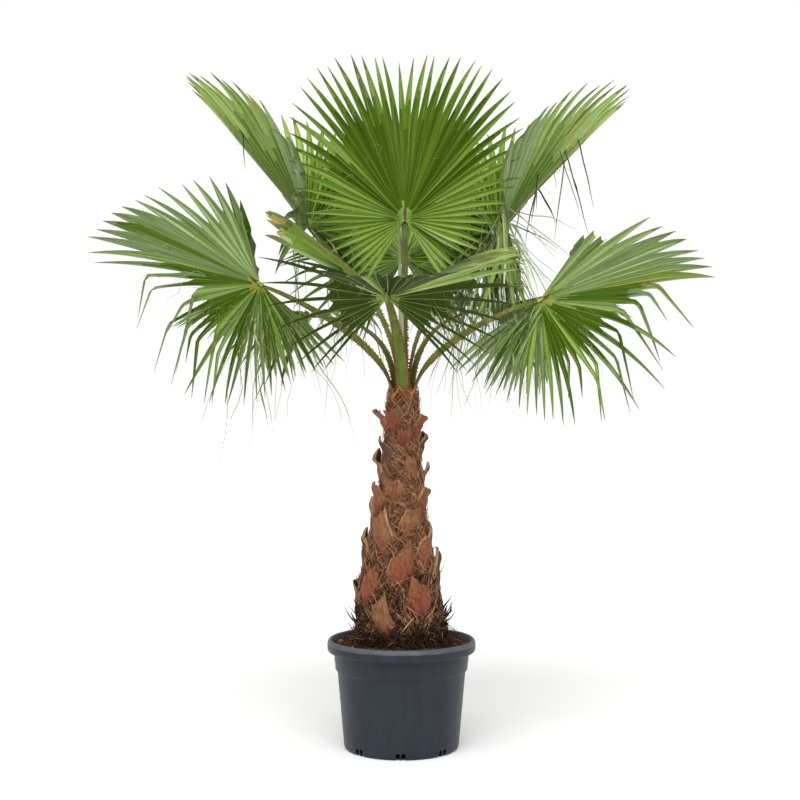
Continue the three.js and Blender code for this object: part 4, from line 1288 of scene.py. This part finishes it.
# %% [markdown]
# ## The stalks
#
# Each stalk, or *petiole*, leaves the trunk as a broad strap, narrows as it arches out, and runs
# on under its fan as the costa. Its section is a crescent: rounded below, channelled above, with
# sharp margins that are red-brown and armed with hooked teeth. A section is swept along the
# stalk's curve, because its width and tilt change all the way.

# %% Sweep of a stalk
STALK_SIDES = 20
STALK_STEPS = 36
STALK_THICKNESS = 10
COSTA_STEPS = 12
COSTA_BACK, COSTA_REACH, COSTA_RADIUS, COSTA_TIP = 30, 150, 8, 1.5
TRUNK_TOP = np.array([6, 0, 1188.3])
around = full_turn(STALK_SIDES)
channel = np.where(np.sin(around) > 0, np.sin(around) * (1 - 0.75 * np.sin(around)), np.sin(around))


def stalk_line(frond):
    """The stalk's middle line, and its axes across and through, at each step."""
    costa, left, face = fan_axes(frond)
    out = around_axis(1, math.radians(frond["foot_azimuth"]), 0)
    root = TRUNK_TOP + out * frond["foot"]
    end = frond["hub"] - costa * COSTA_BACK - face * COSTA_RADIUS * 0.6
    span = np.linalg.norm(end - root)
    rising = root + UP * frond["up"] * span
    arriving = end - costa * 0.16 * span
    t = np.linspace(0, 1, STALK_STEPS)[:, None]
    s = 1 - t
    line = root * s ** 3 + rising * 3 * t * s ** 2 + arriving * 3 * t ** 2 * s + end * t ** 3
    root_across = np.cross(UP, out)
    root_across = root_across * (1 if root_across @ left > 0 else -1)
    run = np.linspace(0, COSTA_BACK + COSTA_REACH, COSTA_STEPS + 1)[1:, None]
    web = frond["droop"] * (np.maximum(run - COSTA_BACK, 0) / frond["radius"]) ** 1.5
    line = np.concatenate([line, end + unit(costa - UP * web) * run])
    across = np.concatenate([mix(root_across, left, t), np.tile(left, (COSTA_STEPS, 1))])
    ahead = unit(np.gradient(line, axis=0))
    across = unit(across - ahead * dot(across, ahead))
    turned = np.zeros((len(line), 1))
    turned[:STALK_STEPS] = math.radians(frond["twist"]) * np.sin(math.pi * t)
    across = across * np.cos(turned) + np.cross(ahead, across) * np.sin(turned)
    return line, across, np.cross(ahead, across)


def stalk_sizes(frond):
    """Half the width and half the thickness at each step."""
    t = np.linspace(0, 1, STALK_STEPS)
    base_width, base_thickness = frond["base"]
    width = mix(base_width, frond["width"], smooth(0, 0.8, t))
    thickness = mix(base_thickness, STALK_THICKNESS, t)
    taper = np.linspace(0, 1, COSTA_STEPS + 1)[1:]
    return (
        np.concatenate([width / 2, mix(frond["width"] / 2, COSTA_TIP, taper)]),
        np.concatenate([thickness / 2, mix(COSTA_RADIUS * 0.7, COSTA_TIP, taper)]),
    )


reach = [round(np.linalg.norm(np.diff(stalk_line(frond)[0], axis=0), axis=1).sum()) for frond in FRONDS]
print("length of each stalk with its costa, mm:", reach)

# %% Make the stalks
MARGIN_FROM = 0.88
MARGIN_STEPS = 0.8 * STALK_STEPS
RIND, MARGIN, CHANNEL, SHADED = range(4)
stalk_finishes = [
    natural("petiole_rind", "#515d18", "#6b7527", 16, 0.33, 0.15, (1, 1, 6)),
    natural("petiole_margin", "#5f3a22", "#87603a", 8, 0.5, 0.3),
    natural("petiole_channel", "#525e1d", "#6d7730", 16, 0.38, 0.15, (1, 1, 6)),
    natural("petiole_shaded", "#3a470f", "#4f5d1c", 16, 0.4, 0.15, (1, 1, 6)),
]
middle = around + math.pi / STALK_SIDES
is_side = np.abs(np.cos(middle)) > MARGIN_FROM
for frond in FRONDS:
    line, across, through = stalk_line(frond)
    half_width, half_thickness = stalk_sizes(frond)
    rings = (
        line[:, None]
        + across[:, None] * (np.cos(around) * half_width[:, None])[..., None]
        + through[:, None] * (channel * half_thickness[:, None])[..., None]
    )
    upper = SHADED if frond["name"] == "top" else CHANNEL
    is_margin = is_side & (np.arange(len(line) - 1)[:, None] <= MARGIN_STEPS)
    tone = np.select([is_margin, ~is_side & (np.sin(middle) > 0)], [MARGIN, upper], RIND)
    stalk = new_piece(
        f"stalk_{frond['name']}", skin(rings[None]), stalk_finishes, np.append(tone, [MARGIN, RIND]))
    fit_in(stalk, "petiole_green", f"petiole_{frond['name']}")

# %% [markdown]
# The teeth are small flat hooks, a centimetre apart low on the stalk and finer above. One
# four-sided thorn is worked out for every place along both margins of all nine stalks.

# %% Teeth along the margins
TOOTH_GAP = 9.5
TOOTH_LENGTHS = (9.5, 4)
TEETH_END = 0.86


def teeth(frond):
    """Base corners and points of the teeth along both margins of a stalk."""
    line, across, through = stalk_line(frond)
    half_width, _ = stalk_sizes(frond)
    travelled = np.concatenate([[0], np.cumsum(np.linalg.norm(np.diff(line, axis=0), axis=1))])
    stop = travelled[STALK_STEPS - 1] * TEETH_END
    rings = []
    for side in (-1, 1):
        spots = np.arange(14 + 4 * side, stop, TOOTH_GAP)
        spots = spots + (scatter(np.arange(len(spots)), frond["index"] + side) - 0.5) * 5
        place, edge, normal, forward = [
            np.stack([np.interp(spots, travelled, values[:, axis]) for axis in range(3)], axis=-1)
            for values in (line, across, through, np.gradient(line, axis=0))
        ]
        forward = unit(forward)
        size = (mix(*TOOTH_LENGTHS, spots / stop) * mix(0.7, 1.2, scatter(spots, 3)))[:, None]
        hook = np.where(scatter(spots, 5) < 0.5, -1, 1)[:, None] * 0.35
        margin = place + edge * side * (np.interp(spots, travelled, half_width)[:, None] - 0.8)
        tip = margin + edge * side * size + forward * hook * size
        half = forward * size * 0.42
        thick = normal * 0.9
        corners = np.stack([-half, -thick, half, thick], axis=1)
        rings.append(np.stack([margin[:, None] + corners, tip[:, None] + corners * 0.08], axis=1))
    return np.concatenate(rings)


tooth_brown = natural("petiole_tooth", "#532d1a", "#80512e", 6, 0.4, bump=0.1)
all_teeth = new_piece(
    "stalk_teeth", skin(np.concatenate([teeth(frond) for frond in FRONDS])), [tooth_brown], crease=30)
turn_outward(all_teeth)
fit_in(all_teeth, "petiole_green")

# %% [markdown]
# Where stalk meets fan, a stiff crest called the *hastula* stands up from the upper face. It is
# a rounded tongue, waxy yellow-green with a dry brown lip.

# %% Hastulas
HASTULA = {"reach": 44, "half": 11, "rise": 11, "back": 12, "thickness": 2.2}
LIP_ROWS = 4
up_tongue = np.linspace(0, 1, 8)[:, None, None]
across_tongue = np.linspace(-1, 1, 9)[:, None]
tongue_outer, tongue_inner = [], []
for frond in FRONDS:
    costa, left, face = fan_axes(frond)
    along = mix(-HASTULA["back"], HASTULA["reach"], up_tongue) * (1 - 0.25 * across_tongue ** 2)
    aside = across_tongue * HASTULA["half"] * ((1 - up_tongue) ** 0.7 + 0.05)
    lifted = 3 + HASTULA["rise"] * up_tongue ** 1.6 - 3.5 * across_tongue ** 2 * (1 - up_tongue)
    tongue_outer.append(frond["hub"] + costa * along + left * aside + face * lifted)
    tongue_inner.append(tongue_outer[-1] - face * HASTULA["thickness"])
tongue_shape, tongue_parts = slab(np.array(tongue_outer), np.array(tongue_inner))
# The lip is dry on every tongue, and the top frond's tongue is dry all over.
tongue_tone = np.zeros((len(FRONDS), len(up_tongue) - 1, len(across_tongue) - 1), int)
tongue_tone[:, -LIP_ROWS:] = 1
tongue_tone[0] = 1
tongue_tone = tongue_tone.reshape(len(FRONDS), -1)
hastula_finishes = [
    natural("hastula_rind", "#7f8538", "#9c9c55", 8, 0.4, bump=0.2),
    natural("hastula_lip", "#4b3520", "#6f5335", 5, 0.6, bump=0.2),
]
hastulas = new_piece(
    "hastulas", tongue_shape, hastula_finishes, slab_tones(tongue_tone, tongue_tone, 1, tongue_parts))
turn_outward(hastulas)
fit_in(hastulas, "leaf_green")

# %% [markdown]
# ## The spear and the threads
#
# The youngest leaf is still a *spear*: a fan folded shut like an umbrella, pale and waxy. Its
# section is a ring of pleats, which a twist winds slightly as it rises.
#
# *Washingtonia* is known by its threads. As leaflets split apart, a fibre peels off each edge
# and curls in the gap. They are drawn about twice as thick as life, so that they still show.
# Broader strips tear away too, hang down pale or yellow, and tangle beside the upper right frond.

# %% Spear
SPEAR_STEPS = 40
SPEAR_PLEATS = 11
SPEAR_RADIUS = 8.5
SPEAR_LENGTH = 570
SPEAR_LEAN = -16
SPEAR_FOOT = TRUNK_TOP - [0, 13, 0]
up_spear = np.linspace(0, 1, SPEAR_STEPS)[:, None]
spear_turn = full_turn(SPEAR_PLEATS * 4)
spear_size = SPEAR_RADIUS * np.interp(up_spear, (0, 0.3, 0.6, 0.9, 1), (1, 0.95, 0.8, 0.35, 0.05))
pleated = spear_size * (1 + 0.14 * np.cos(SPEAR_PLEATS * spear_turn + up_spear * 3))
spear_rings = around_axis(pleated, spear_turn, SPEAR_LENGTH * up_spear) + SPEAR_FOOT
spear_rings[..., 0] += SPEAR_LEAN * up_spear
spear_wax = natural("young_leaf_wax", "#7c835e", "#a8ab8b", 10, 0.5, 0.3, (1, 1, 10))
spear = new_piece("folded_spear", skin(spear_rings[None]), [spear_wax], crease=60)
fit_in(spear, "spear_pale", "spear")

# %% Threads and torn strips
THREAD_STEPS = 11
SPLIT_ROWS = (WEB_ROWS // 2, WEB_ROWS + 3)
AHEAD_ROWS = 4


def peelings(name, material, odds, beside, lengths, radius, flat, droop, wave, fall=0.0,
             rows=SPLIT_ROWS, spread=0.3, lean=(0, 0, 0)):
    """Strands that start where leaflets split, `beside` = (from, to) degrees from the costa.

    `odds` gives the mean number of strands in each split of a frond. They start between two
    `rows` of the grid, `spread` about a common heading that leans to `lean`.
    """
    roots, headings = [], []
    for frond, grid in zip(FRONDS, grids):
        low, high = frond["kept"]
        ribs = frond["ribs"]
        splits = np.flatnonzero(between(low, ribs, high) & between(beside[0], np.abs(ribs), beside[1]))
        count = random.poisson(odds.get(frond["name"], odds.get("any", 0)), len(splits))
        chosen = np.repeat(splits, count)
        row = random.integers(*rows, len(chosen))
        roots.append(grid[chosen, 0, row])
        headings.append(unit(grid[chosen, 0, row + AHEAD_ROWS] - roots[-1]))
    roots = np.concatenate(roots)
    headings = np.concatenate(headings) * (1 - fall) - UP * fall + np.array(lean)
    headings = unit(headings + random.normal(0, spread, (len(roots), 3)) * (1 - 0.4 * fall))
    lines = curled(roots, headings, random.uniform(*lengths, len(roots)), THREAD_STEPS, wave, droop)
    along = np.linspace(0, 1, THREAD_STEPS)
    profile = np.interp(along, (0, 0.15, 0.7, 1), (0.6, 1, 0.75, 0.15))
    strands(name, lines, radius, profile, material, "leaf_green", flat)


thread_pale = natural("leaf_thread", "#86875a", "#a9aa7c", 12, 0.6)
strip_green = natural("torn_leaf_strip", "#728c48", "#a3b67c", 40, 0.5)
strip_yellow = natural("torn_leaf_strip_old", "#6f7a2c", "#99a04f", 40, 0.5)
strip_dark = natural("torn_leaf_strip_deep", "#3c5415", "#5a7227", 40, 0.5)
strip_pale = natural("torn_leaf_strip_pale", "#93a677", "#c0cda6", 40, 0.5)
peelings(
    "leaf_threads", thread_pale, dict(any=0.5, upper_right=3.0, left=2.4, right=0.8, front=1.2),
    (0, 150), (25, 120), (0.45, 0.9), 1, 0.4, 0.1)
peelings(
    "leaf_strips", strip_green, dict(left=1.6, front=0.3, right=1.6), (92, 150), (40, 120), (1.8, 4.2),
    0.3, 0.8, 0.04, 0.3)
peelings(
    "leaf_ribbons", strip_green, dict(upper_right=3.4, upper_left=0.6), (84, 150), (160, 400),
    (4.0, 8.5), 0.35, 0.4, 0.04, 0.75)
peelings(
    "leaf_ribbons_old", strip_yellow, dict(upper_right=1.2, front=0.15, left=0.5), (84, 150),
    (160, 380), (2.2, 5.5), 0.3, 0.5, 0.04, 0.7)
peelings(
    "leaf_ribbons_deep", strip_dark, dict(upper_right=0.5, upper_left=0.15), (3, 34), (120, 270),
    (3.8, 6.8), 0.5, 0.3, 0.012, 0.85)
peelings(
    "leaf_tangle", strip_pale, dict(upper_right=3.2), (62, 150), (180, 360), (3.2, 7.5), 0.3, 0.3,
    0.018, 0.75, rows=(2, WEB_ROWS // 2 + 4), spread=0.5, lean=(0.3, -0.25, 0))
peelings(
    "leaf_tangle_green", strip_green, dict(right=1.0), (84, 150), (120, 300), (2.0, 4.6), 0.3, 0.2,
    0.02, 0.8, rows=(1, WEB_ROWS // 2), spread=0.5, lean=(-0.45, 0, 0))

# %% [markdown]
# ## Last checks
#
# The dressed plant's box is measured, and how far each of its sides lies from the CAD box is printed.
# The dressed plant has to keep to the space of its CAD model.

# %% Sizes and finish
dressed_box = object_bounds()
for axis, name in enumerate("XYZ"):
    grown = [round(1000 * (dressed_box[end][axis] - cad_box[end][axis]), 1) for end in (0, 1)]
    print(name, "low and high against the CAD box, mm:", grown)
